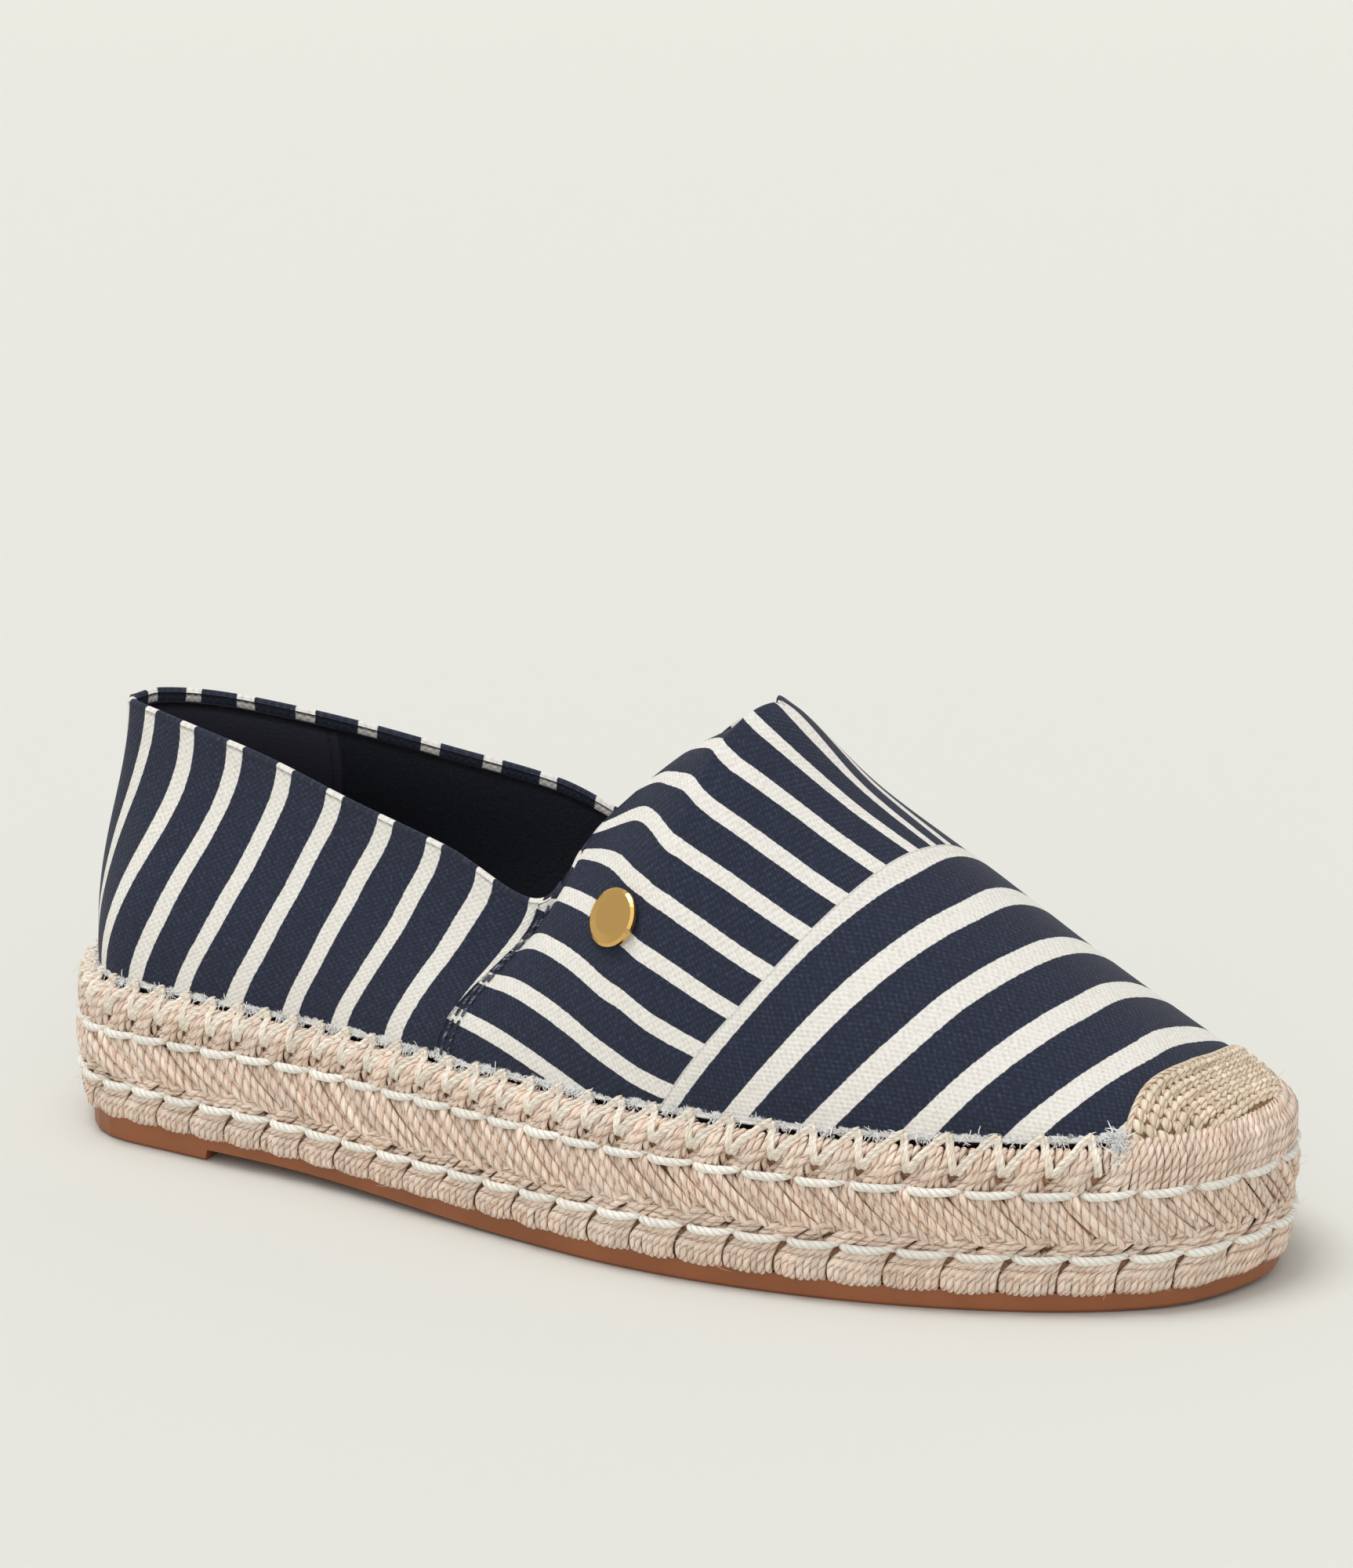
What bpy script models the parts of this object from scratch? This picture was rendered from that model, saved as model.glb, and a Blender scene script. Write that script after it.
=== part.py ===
"""Right espadrille with a rope midsole. Metres, +X from heel to toe, +Y to the
inner side, +Z up. The origin is the middle of the footprint, on the floor."""

import math

import bpy
import numpy as np

# Overall sizes
LENGTH = 0.257
BALL_WIDTH = 0.093
SOLE_HEIGHT = 0.0320
COLLAR_HEIGHT = 0.0895
GAP = 0.0003

# Rubber outsole
RUBBER_INSET = 0.0012
RUBBER_CHAMFER = 0.0008
HEEL_LIFT = 0.0026
HEEL_LIFT_LENGTH = 0.0405
ARCH_END = 0.1250
TOE_SPRING = 0.0012
SPRING_START = 0.86

# Rope courses
BUNDLE_PITCH = 0.0098
BUNDLE_STEPS = 3
PUFF = 0.0011
GROOVE = 0.0010
BUNDLE_SHIFT = 0.3333

# Upper
WALL = 0.0016
LAP = 0.0007
LAP_TAPER = 2.5
FEATHER_INSET = 0.0031
CAP_THICKNESS = 0.0022
STUD_RADIUS = 0.0058
STUD_HEIGHT = 0.0016
STUD_RIB = 8.22
STUD_UP = 0.42

# Insole
INSOLE_THICKNESS = 0.0024
INSOLE_INSET = 0.0056
INSOLE_TOE_INSET = 0.0150
INSOLE_TOE_START = 0.80

# Footprint, shares of LENGTH and of BALL_WIDTH
OUTLINE = (
    # along, outer, inner
    (0.000, 0.000, 0.000),
    (0.012, 0.103, 0.112),
    (0.050, 0.248, 0.250),
    (0.130, 0.298, 0.345),
    (0.250, 0.339, 0.350),
    (0.400, 0.434, 0.315),
    (0.550, 0.514, 0.370),
    (0.680, 0.511, 0.478),
    (0.800, 0.448, 0.456),
    (0.900, 0.341, 0.385),
    (0.960, 0.226, 0.270),
    (0.990, 0.090, 0.145),
    (1.000, -0.025, 0.025),
)

# Where the courses part, shares of SOLE_HEIGHT
LEVELS = (
    # along, rubber top, lower seam, upper seam, rope top
    (0.00, 0.192, 0.422, 0.744, 1.015),
    (0.30, 0.160, 0.372, 0.778, 0.990),
    (0.70, 0.141, 0.375, 0.766, 0.990),
    (1.00, 0.131, 0.356, 0.759, 1.020),
)

# Ribs of the upper from the feather line to its top edge: foot is a share of the
# way round one side, top along is a share of LENGTH, the half widths are shares
# of BALL_WIDTH, rise is a share of COLLAR_HEIGHT, crown goes from an upright
# edge at 0 to a level one at 1
RIBS = (
    # foot, top along, outer half, inner half, rise, crown
    (0.000, 0.037, 0.000, 0.000, 0.968, 0.00),
    (0.035, 0.053, 0.066, 0.068, 0.974, 0.00),
    (0.075, 0.103, 0.124, 0.130, 0.962, 0.00),
    (0.150, 0.190, 0.180, 0.190, 0.921, 0.00),
    (0.230, 0.277, 0.239, 0.250, 0.864, 0.00),
    (0.300, 0.366, 0.288, 0.296, 0.806, 0.00),
    (0.378, 0.448, 0.308, 0.308, 0.725, 0.05),
    (0.448, 0.484, 0.224, 0.220, 0.884, 0.45),
    (0.500, 0.536, 0.125, 0.122, 1.038, 0.80),
    (0.525, 0.578, 0.072, 0.070, 1.110, 0.95),
    (0.553, 0.599, 0.000, 0.000, 1.136, 1.00),
    (0.620, 0.665, 0.000, 0.000, 0.971, 1.00),
    (0.700, 0.755, 0.000, 0.000, 0.806, 1.00),
    (0.780, 0.840, 0.000, 0.000, 0.641, 1.00),
    (0.860, 0.905, 0.000, 0.000, 0.512, 1.00),
    (0.930, 0.935, 0.000, 0.000, 0.448, 1.00),
    (1.000, 0.935, 0.000, 0.000, 0.448, 1.00),
)
SEAM_RIB = 6
APEX_RIB = 10
POLE_RIB = 15
RIB_STEPS = 3
RISE_STEPS = 8

# Fullness of the ribs, shares of their height and spread
FOOT_PULL = 0.42
FOOT_BULGE = 0.036
EDGE_PULL = 0.35
EDGE_LEAN = 0.010
RIDGE_PULL = 0.52

# Edge of the toe cap, in ribs
CAP_EDGE = (
    # way up the rib, rib
    (0.00, 14.12),
    (0.35, 14.02),
    (0.70, 14.16),
    (1.00, 14.53),
)
CAP_STEPS = 14


def hermite(at, knots, values):
    """Smooth curve through the values at the knots."""
    knots = np.asarray(knots, float)
    values = np.asarray(values, float)
    at = np.clip(np.asarray(at, float), knots[0], knots[-1])
    slopes = np.gradient(values, knots, axis=0)
    cell = np.clip(np.searchsorted(knots, at, side="right") - 1, 0, len(knots) - 2)
    width = knots[cell + 1] - knots[cell]
    t = (at - knots[cell]) / width
    if values.ndim > 1:
        t = t[..., None]
        width = width[..., None]
    ends = (1 + 2 * t) * (1 - t) ** 2 * values[cell] + t * t * (3 - 2 * t) * values[cell + 1]
    turns = t * (1 - t) ** 2 * slopes[cell] - t * t * (1 - t) * slopes[cell + 1]
    return ends + width * turns


def footprint_sides():
    """Points and normals of each side, heel to toe, with stations alike in length."""
    rows = np.array(OUTLINE)
    along = rows[:, 0] * LENGTH
    outer = np.column_stack([along, -rows[:, 1] * BALL_WIDTH])
    inner = np.column_stack([along, rows[:, 2] * BALL_WIDTH])
    loop = np.vstack([outer, inner[-2:0:-1]])
    count = len(loop)
    wrapped = np.vstack([loop[-4:], loop, loop[:5]])
    chords = np.linalg.norm(np.diff(wrapped, axis=0), axis=1)
    knots = np.concatenate([[0], np.cumsum(np.sqrt(chords))])
    knots = knots - knots[4]
    sides = []
    for first, last in ((knots[4], knots[4 + len(rows) - 1]), (knots[4 + count], knots[4 + len(rows) - 1])):
        at = np.linspace(first, last, 1201)
        points = hermite(at, knots, wrapped)
        turn = 1 if last > first else -1
        tangents = np.gradient(points, axis=0)
        normals = turn * np.column_stack([tangents[:, 1], -tangents[:, 0]])
        normals /= np.linalg.norm(normals, axis=1, keepdims=True)
        steps = np.linalg.norm(np.diff(points, axis=0), axis=1)
        arc = np.concatenate([[0], np.cumsum(steps)])
        station = arc / arc[-1]
        if sides:
            reach = np.maximum.accumulate(sides[0][0][:, 0]) + GAP * sides[0][2]
            own = np.maximum.accumulate(points[:, 0]) + GAP * station
            span = (own - own[0]) / (own[-1] - own[0]) * (reach[-1] - reach[0]) + reach[0]
            station = np.interp(span, reach, sides[0][2])
        sides.append((points, normals, station, arc[-1]))
    return sides


SIDES = footprint_sides()
MIDDLE_Y = (SIDES[0][0][:, 1].min() + SIDES[1][0][:, 1].max()) / 2


def side_points(side, share, inset=0.0):
    """Points of one side of the footprint at shares of its arc, drawn in by an inset."""
    points, normals, arc, _ = SIDES[side]
    at = np.column_stack([np.interp(share, arc, points[:, i]) for i in range(2)])
    out = np.column_stack([np.interp(share, arc, normals[:, i]) for i in range(2)])
    out /= np.linalg.norm(out, axis=1, keepdims=True)
    inset = np.broadcast_to(inset, len(at))
    return at - out * inset[:, None], out


def spring(along):
    """Rise of the sole at the toe."""
    share = np.clip((along / LENGTH - SPRING_START) / (1 - SPRING_START), 0, 1)
    return TOE_SPRING * share * share


def level(column, along):
    """Height of a line where two courses part."""
    rows = np.array(LEVELS)
    return SOLE_HEIGHT * hermite(along / LENGTH, rows[:, 0], rows[:, column]) + spring(along)


def ring(count, inset):
    """Closed loop of the footprint, heel round the outer side to the toe and back."""
    share = np.linspace(0, 1, count + 1)
    inset = np.broadcast_to(inset, 2 * count)
    outer, _ = side_points(0, share, inset[: count + 1])
    back = np.concatenate([inset[:1], inset[:count - 1:-1]])
    inner, _ = side_points(1, share, back)
    outer[0, 1] = inner[0, 1] = (outer[0, 1] + inner[0, 1]) / 2
    return np.vstack([outer, inner[-2:0:-1]])


def slab(rings):
    """Solid between a stack of equal loops, with both ends closed in strips."""
    count = len(rings[0])
    half = count // 2
    points = np.vstack(rings)
    faces = []
    for row in range(len(rings) - 1):
        low = row * count
        high = low + count
        for i in range(count):
            j = (i + 1) % count
            faces.append((low + i, low + j, high + j, high + i))
    for first, turn in ((0, 1), (len(points) - count, -1)):
        strips = [(0, 1, count - 1), (half - 1, half, half + 1)]
        for i in range(1, half - 1):
            strips.append((i, i + 1, count - i - 1, count - i))
        faces += [tuple(first + k for k in strip)[::-turn] for strip in strips]
    return points, faces


def bundles(share, shift=0.0):
    """Fullness of the rope bundles along the footprint, 0 in a pinch and 1 on a crest."""
    length = SIDES[0][3]
    count = round(length / BUNDLE_PITCH)
    return np.abs(np.sin(math.pi * (share * count + shift)))


def course(low, high, rows):
    """Rope course between two levels, its rows giving height, swell and shift."""
    count = round(SIDES[0][3] / BUNDLE_PITCH) * BUNDLE_STEPS
    share = np.linspace(0, 1, count + 1)
    share = np.concatenate([share, share[-2:0:-1]])
    sign = np.where(np.arange(2 * count) <= count, 1, -1)
    rings = []
    for height, swell, shift in rows:
        full = bundles(share, shift)
        swelled = np.where(swell > 0, swell * PUFF * (0.35 + 0.65 * full), swell * GROOVE)
        flat = ring(count, -swelled)
        along = flat[:, 0]
        floor = level(low, along) + GAP / 2
        top = level(high, along) - GAP / 2
        rings.append(np.column_stack([flat, floor + height * (top - floor)]))
    return slab(rings)


def rib_table(side, at):
    """Foot share, top point, crown and ridge slope of the ribs at these rib numbers."""
    rows = np.array(RIBS)
    knots = np.arange(len(rows))
    top_at = np.minimum(at, POLE_RIB)
    foot = hermite(at, knots, rows[:, 0])
    along = hermite(top_at, knots, rows[:, 1]) * LENGTH
    half = hermite(top_at, knots, rows[:, 2 + side]) * BALL_WIDTH
    half = np.where(at >= APEX_RIB - 1e-9, 0, np.maximum(half, 0))
    rise = hermite(top_at, knots, rows[:, 4]) * COLLAR_HEIGHT
    crown = np.clip(hermite(at, knots, rows[:, 5]), 0, 1)
    step = 0.05
    ridge_at = np.clip(at, APEX_RIB + step, POLE_RIB)
    before = hermite(ridge_at - step, knots, rows[:, [1, 4]])
    after = hermite(ridge_at, knots, rows[:, [1, 4]])
    run = np.maximum((after[:, 0] - before[:, 0]) * LENGTH, GAP)
    slope = (after[:, 1] - before[:, 1]) * COLLAR_HEIGHT / run
    top = np.column_stack([along, (1, -1)[side] * -half, rise])
    return foot, top, crown, slope


def upper_grid(side, at, up):
    """Points of the upper's face, at rib numbers and shares of the way up each rib."""
    foot, top, crown, slope = rib_table(side, at[:, 0])
    flat, out = side_points(side, foot, FEATHER_INSET)
    base = np.column_stack([flat, level(4, flat[:, 0]) + GAP])
    up = np.broadcast_to(up, at.shape)
    tall = (top[:, 2] - base[:, 2])[:, None]
    outward = np.column_stack([out, np.zeros(len(out))])
    lift = np.array([0, 0, 1.0])
    first = base + tall * (FOOT_PULL * lift + FOOT_BULGE * outward)
    edge = tall * (EDGE_LEAN * outward - EDGE_PULL * lift)
    spread = base[:, :2] - top[:, :2]
    ridge = RIDGE_PULL * np.column_stack([spread, slope * spread[:, 0]])
    last = top + edge + crown[:, None] * (ridge - edge)
    t = up[:, :, None]
    base, first, last, top = (p[:, None, :] for p in (base, first, last, top))
    return (1 - t) ** 3 * base + 3 * t * (1 - t) ** 2 * first + 3 * t * t * (1 - t) * last + t**3 * top


def upper_faces(at, up):
    """Points and outward normals of both sides, alike where the sides meet."""
    fine_up = np.clip(up, 0, 0.985)
    points = []
    normals = []
    for side in (0, 1):
        points.append(upper_grid(side, at, up))
        step = 0.02
        across = upper_grid(side, np.clip(at + step, 0, None), fine_up)
        across = across - upper_grid(side, np.maximum(at - step, 0), fine_up)
        upward = upper_grid(side, at, fine_up + 0.01) - upper_grid(side, at, np.maximum(fine_up - 0.01, 0))
        out = np.cross(across, upward) * (1, -1)[side]
        out /= np.maximum(np.linalg.norm(out, axis=2, keepdims=True), 1e-12)
        normals.append(out)
    last = at >= len(RIBS) - 1 - 1e-9
    shared = (at <= 1e-9) | last | ((at >= APEX_RIB - 1e-9) & (up >= 1 - 1e-9))
    middle = normals[0] + normals[1]
    middle[..., 1] = 0
    pole = (at >= POLE_RIB - 1e-9) & (up >= 1 - 1e-9)
    if pole.any():
        middle[pole] = middle[pole].sum(axis=0)
    middle /= np.maximum(np.linalg.norm(middle, axis=2, keepdims=True), 1e-12)
    for side in (0, 1):
        normals[side][shared] = middle[shared]
    centre = (points[0] + points[1]) / 2
    for side in (0, 1):
        points[side][shared] = centre[shared]
    return points, normals


def lap_lift(at):
    """How far the vamp stands over the quarter."""
    over = (at >= SEAM_RIB - 1e-9) * LAP
    return over * np.clip(1 - (at - SEAM_RIB) / LAP_TAPER, 0, 1)


def weld(points, faces):
    """One point for each place, with the faces that lose an edge made smaller."""
    keys = np.round(points / 1e-7).astype(np.int64)
    _, first, index = np.unique(keys, axis=0, return_index=True, return_inverse=True)
    index = index.reshape(-1)
    kept = []
    for face in faces:
        corners = [index[i] for i in face]
        corners = [c for k, c in enumerate(corners) if c != corners[k - 1]]
        if len(set(corners)) == len(corners) and len(corners) > 2:
            kept.append(tuple(int(c) for c in corners))
    return points[first], kept


def grid_faces(rows, columns, first, turned):
    """Quads of a grid of points."""
    faces = []
    for i in range(rows - 1):
        for j in range(columns - 1):
            corner = first + i * columns + j
            quad = (corner, corner + columns, corner + columns + 1, corner + 1)
            faces.append(quad[::-1] if turned else quad)
    return faces


def shell(outer, inner, open_edges):
    """Solid between two pairs of grids, the open edges joined by strips."""
    rows, columns = outer[0].shape[:2]
    size = rows * columns
    points = np.vstack([g.reshape(-1, 3) for g in (outer[0], outer[1], inner[0], inner[1])])
    faces = []
    for layer, side in ((0, 0), (0, 1), (1, 0), (1, 1)):
        first = (2 * layer + side) * size
        faces += grid_faces(rows, columns, first, (layer + side) % 2 == 1)
    for side in (0, 1):
        for line in open_edges(rows, columns):
            for a, b in zip(line[:-1], line[1:]):
                a_out = side * size + a
                b_out = side * size + b
                quad = (b_out, a_out, a_out + 2 * size, b_out + 2 * size)
                faces.append(quad[::-1] if side else quad)
    return weld(points, faces)


def upper_solid():
    """Hollow canvas upper, open at the collar, the throat and underneath."""
    ribs = len(RIBS) - 1
    at = np.linspace(0, ribs, ribs * RIB_STEPS + 1)
    at = np.insert(at, SEAM_RIB * RIB_STEPS, SEAM_RIB - 0.02)
    up = np.linspace(0, 1, RISE_STEPS + 1)
    at, up = np.meshgrid(at, up, indexing="ij")
    points, normals = upper_faces(at, up)
    lift = lap_lift(at)[..., None]
    outer = [p + lift * n for p, n in zip(points, normals)]
    inner = [p - WALL * n for p, n in zip(points, normals)]
    for side in (0, 1):
        base = points[side][:, :1, 2]
        outer[side][:, 0, 2] = base[:, 0]
        inner[side][:, 0, 2] = base[:, 0]
        inner[side][..., 2] = np.maximum(inner[side][..., 2], base + GAP * up)
    apex = int(np.argmin(np.abs(at[:, 0] - APEX_RIB)))

    def open_edges(rows, columns):
        foot = [i * columns for i in range(rows)]
        top = [i * columns + columns - 1 for i in range(apex + 1)]
        return [foot, top[::-1]]

    return shell(outer, inner, open_edges)


def cap_solid():
    """Crocheted toe cap, a second skin over the upper's own face."""
    rows = np.array(CAP_EDGE)
    up = np.linspace(0, 1, RISE_STEPS + 1)
    edge = hermite(up, rows[:, 0], rows[:, 1])
    share = np.linspace(0, 1, CAP_STEPS + 1)[:, None]
    at = edge + share * (len(RIBS) - 1 - edge)
    up = np.broadcast_to(up, at.shape)
    columns = [upper_faces(at[:, [k]], up[:, [k]]) for k in range(RISE_STEPS + 1)]
    points, normals = ([np.hstack([c[part][side] for c in columns]) for side in (0, 1)] for part in (0, 1))
    outer = [p + (GAP + CAP_THICKNESS) * n for p, n in zip(points, normals)]
    inner = [p + GAP * n for p, n in zip(points, normals)]
    for side in (0, 1):
        outer[side][:, 0, 2] = points[side][:, 0, 2]
        inner[side][:, 0, 2] = points[side][:, 0, 2]

    def open_edges(rows, columns):
        foot = [i * columns for i in range(rows)]
        back = list(range(columns))
        return [foot, back[::-1]]

    return shell(outer, inner, open_edges)


def stud_place():
    """Point and outward direction of the stud on the outer side of the vamp."""
    at = np.array([[STUD_RIB]])
    up = np.array([[STUD_UP]])
    points, normals = upper_faces(at, up)
    lift = lap_lift(at)[0, 0] + GAP * 2
    return points[0][0, 0] + lift * normals[0][0, 0], normals[0][0, 0]


# Building in Blender
for old in list(bpy.data.objects):
    bpy.data.objects.remove(old)

SHOE = bpy.data.collections.new("espadrille")
CUTTERS = bpy.data.collections.new("cutters")
bpy.context.scene.collection.children.link(SHOE)
bpy.context.scene.collection.children.link(CUTTERS)
CUTTERS.hide_render = True
SHIFT = np.array([-LENGTH / 2, -MIDDLE_Y, 0.0])


def material(name, colour, roughness, metallic=0.0):
    made = bpy.data.materials.new(name)
    made.use_nodes = True
    shader = made.node_tree.nodes["Principled BSDF"]
    shader.inputs["Base Color"].default_value = (*colour, 1)
    shader.inputs["Roughness"].default_value = roughness
    shader.inputs["Metallic"].default_value = metallic
    return made


def solid(name, shape, look, smooth_degrees=40, collection=SHOE):
    points, faces = shape
    mesh = bpy.data.meshes.new(name)
    mesh.from_pydata((points + SHIFT).tolist(), [], faces)
    mesh.validate()
    made = bpy.data.objects.new(name, mesh)
    collection.objects.link(made)
    if look:
        mesh.materials.append(look)
    mesh.shade_smooth()
    mesh.set_sharp_from_angle(angle=math.radians(smooth_degrees))
    return made


def outsole_solid():
    """Rubber sole as a block down to the floor, before the arch is cut."""
    count = 60
    rings = []
    for inset, rise in ((RUBBER_CHAMFER, 0.0), (0.0, RUBBER_CHAMFER)):
        flat = ring(count, RUBBER_INSET + inset)
        rings.append(np.column_stack([flat, spring(flat[:, 0]) + rise]))
    flat = ring(count, RUBBER_INSET)
    rings.append(np.column_stack([flat, level(1, flat[:, 0]) - GAP / 2]))
    return slab(rings)


def arch_solid():
    """Cutter under the arch, from the heel lift to where the forefoot lands."""
    share = np.linspace(0, 1, 13)
    along = HEEL_LIFT_LENGTH + share * (ARCH_END - HEEL_LIFT_LENGTH)
    roof = HEEL_LIFT * (1 - share**1.6)
    deep = -HEEL_LIFT
    side = [(HEEL_LIFT_LENGTH - HEEL_LIFT / 2, deep)]
    side += list(zip(along, roof))
    side.append((ARCH_END, deep))
    count = len(side)
    points = [(x, y * BALL_WIDTH, z) for y in (-1, 1) for x, z in side]
    faces = [tuple(range(count))[::-1], tuple(range(count, 2 * count))]
    for i in range(count):
        j = (i + 1) % count
        faces.append((i, j, count + j, count + i))
    return np.array(points), faces


def insole_solid():
    """Flat footbed inside the upper."""
    count = 48
    share = np.linspace(0, 1, count + 1)
    along = side_points(0, share)[0][:, 0] / LENGTH
    toe = np.clip((along - INSOLE_TOE_START) / (1 - INSOLE_TOE_START), 0, 1)
    inset = INSOLE_INSET + INSOLE_TOE_INSET * toe
    inset = np.concatenate([inset, inset[-2:0:-1]])
    rings = []
    for draw, share in ((0.0, 0.0), (0.0, 0.7), (0.2, 1.0)):
        flat = ring(count, inset + draw * INSOLE_THICKNESS)
        floor = level(4, flat[:, 0]) + GAP / 2
        rings.append(np.column_stack([flat, floor + share * INSOLE_THICKNESS]))
    return slab(rings)


def stud_solid():
    """Plain domed stud."""
    place, out = stud_place()
    across = np.cross(out, [0, 0, 1.0])
    across /= np.linalg.norm(across)
    upward = np.cross(across, out)
    rows = ((1.0, 0.0), (1.0, 0.45), (0.9, 0.7), (0.6, 0.92), (0.25, 1.0))
    count = 32
    angles = np.arange(count) / count * 2 * math.pi
    points = []
    for radius, height in rows:
        for angle in angles:
            spoke = math.cos(angle) * across + math.sin(angle) * upward
            points.append(place + STUD_RADIUS * radius * spoke + STUD_HEIGHT * height * out)
    faces = [tuple(range(count))[::-1], tuple(range(4 * count, 5 * count))]
    for row in range(4):
        for i in range(count):
            j = (i + 1) % count
            low = row * count
            faces.append((low + i, low + j, low + count + j, low + count + i))
    points = np.array(points)
    turned = np.dot(np.cross(across, upward), out) < 0
    return points, [face[::-1] for face in faces] if turned else faces


RUBBER = material("caramel_rubber", (0.30, 0.145, 0.075), 0.45)
JUTE = material("jute_rope", (0.58, 0.42, 0.30), 0.85)
CANVAS = material("striped_canvas", (0.035, 0.048, 0.085), 0.9)
CROCHET = material("crochet_thread", (0.66, 0.54, 0.39), 0.7)
FOOTBED = material("footbed_cloth", (0.03, 0.035, 0.06), 0.9)
GOLD = material("gold_metal", (0.80, 0.62, 0.30), 0.25, 1.0)

outsole = solid("outsole", outsole_solid(), RUBBER)
arch = solid("arch_cutter", arch_solid(), None, collection=CUTTERS)
arch.hide_render = True
arch.display_type = "WIRE"
cut = outsole.modifiers.new("arch", "BOOLEAN")
cut.operation = "DIFFERENCE"
cut.solver = "EXACT"
cut.object = arch

LOWER_ROWS = ((0.0, 0.3, 0.0), (0.22, 1.0, 0.0), (0.62, 0.85, 0.0), (0.92, 0.15, 0.0), (1.0, -1.0, 0.0))
BRAID_ROWS = (
    (0.0, -1.0, 0.0),
    (0.10, 0.4, 0.0),
    (0.35, 1.0, BUNDLE_SHIFT),
    (0.65, 1.0, BUNDLE_SHIFT),
    (0.90, 0.4, 0.0),
    (1.0, -1.0, 0.0),
)
UPPER_ROWS = (
    (0.0, -1.0, BUNDLE_SHIFT),
    (0.12, 0.3, BUNDLE_SHIFT),
    (0.45, 1.0, BUNDLE_SHIFT),
    (0.80, 0.9, BUNDLE_SHIFT),
    (1.0, 0.1, BUNDLE_SHIFT),
)
solid("lower_rope_course", course(1, 2, LOWER_ROWS), JUTE)
solid("braid_course", course(2, 3, BRAID_ROWS), JUTE)
solid("upper_rope_course", course(3, 4, UPPER_ROWS), JUTE)
solid("insole", insole_solid(), FOOTBED)
solid("upper", upper_solid(), CANVAS)
solid("toe_cap", cap_solid(), CROCHET)
solid("ornament", stud_solid(), GOLD)
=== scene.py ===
"""Looks of the right espadrille, laid over the frame of its CAD. Metres, +X from
heel to toe, +Y to the inner side, +Z up."""

import math

import bmesh
import bpy
import numpy as np
from mathutils import Matrix, Vector


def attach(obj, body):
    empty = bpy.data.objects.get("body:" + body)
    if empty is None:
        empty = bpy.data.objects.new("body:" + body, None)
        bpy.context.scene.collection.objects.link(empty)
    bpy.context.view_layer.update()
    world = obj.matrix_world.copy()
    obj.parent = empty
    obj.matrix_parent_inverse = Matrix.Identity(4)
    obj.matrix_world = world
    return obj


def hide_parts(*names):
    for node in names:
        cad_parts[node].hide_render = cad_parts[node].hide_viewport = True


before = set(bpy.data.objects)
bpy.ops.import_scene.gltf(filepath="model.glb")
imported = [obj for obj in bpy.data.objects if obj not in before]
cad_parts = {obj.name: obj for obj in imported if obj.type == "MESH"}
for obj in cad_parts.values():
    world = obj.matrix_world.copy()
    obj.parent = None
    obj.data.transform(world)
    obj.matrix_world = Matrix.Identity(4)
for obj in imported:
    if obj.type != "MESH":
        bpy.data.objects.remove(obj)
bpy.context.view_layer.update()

# Overall sizes
LENGTH = 0.257
BALL_WIDTH = 0.093
SOLE_HEIGHT = 0.0320
COLLAR_HEIGHT = 0.0895
GAP = 0.0003

TOE_SPRING = 0.0012
SPRING_START = 0.86

# Upper
WALL = 0.0016
LAP = 0.0007
LAP_TAPER = 2.5
FEATHER_INSET = 0.0031

# Footprint, shares of LENGTH and of BALL_WIDTH
OUTLINE = (
    # along, outer, inner
    (0.000, 0.000, 0.000),
    (0.012, 0.103, 0.112),
    (0.050, 0.248, 0.250),
    (0.130, 0.298, 0.345),
    (0.250, 0.339, 0.350),
    (0.400, 0.434, 0.315),
    (0.550, 0.514, 0.370),
    (0.680, 0.511, 0.478),
    (0.800, 0.448, 0.456),
    (0.900, 0.341, 0.385),
    (0.960, 0.226, 0.270),
    (0.990, 0.090, 0.145),
    (1.000, -0.025, 0.025),
)

# Lines where the courses part, shares of SOLE_HEIGHT, and their columns
LEVELS = (
    # along, rubber top, lower seam, upper seam, rope top
    (0.00, 0.192, 0.422, 0.744, 1.015),
    (0.30, 0.160, 0.372, 0.778, 0.990),
    (0.70, 0.141, 0.375, 0.766, 0.990),
    (1.00, 0.131, 0.356, 0.759, 1.020),
)
RUBBER_TOP, LOWER_SEAM, UPPER_SEAM, ROPE_TOP = 1, 2, 3, 4

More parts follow.
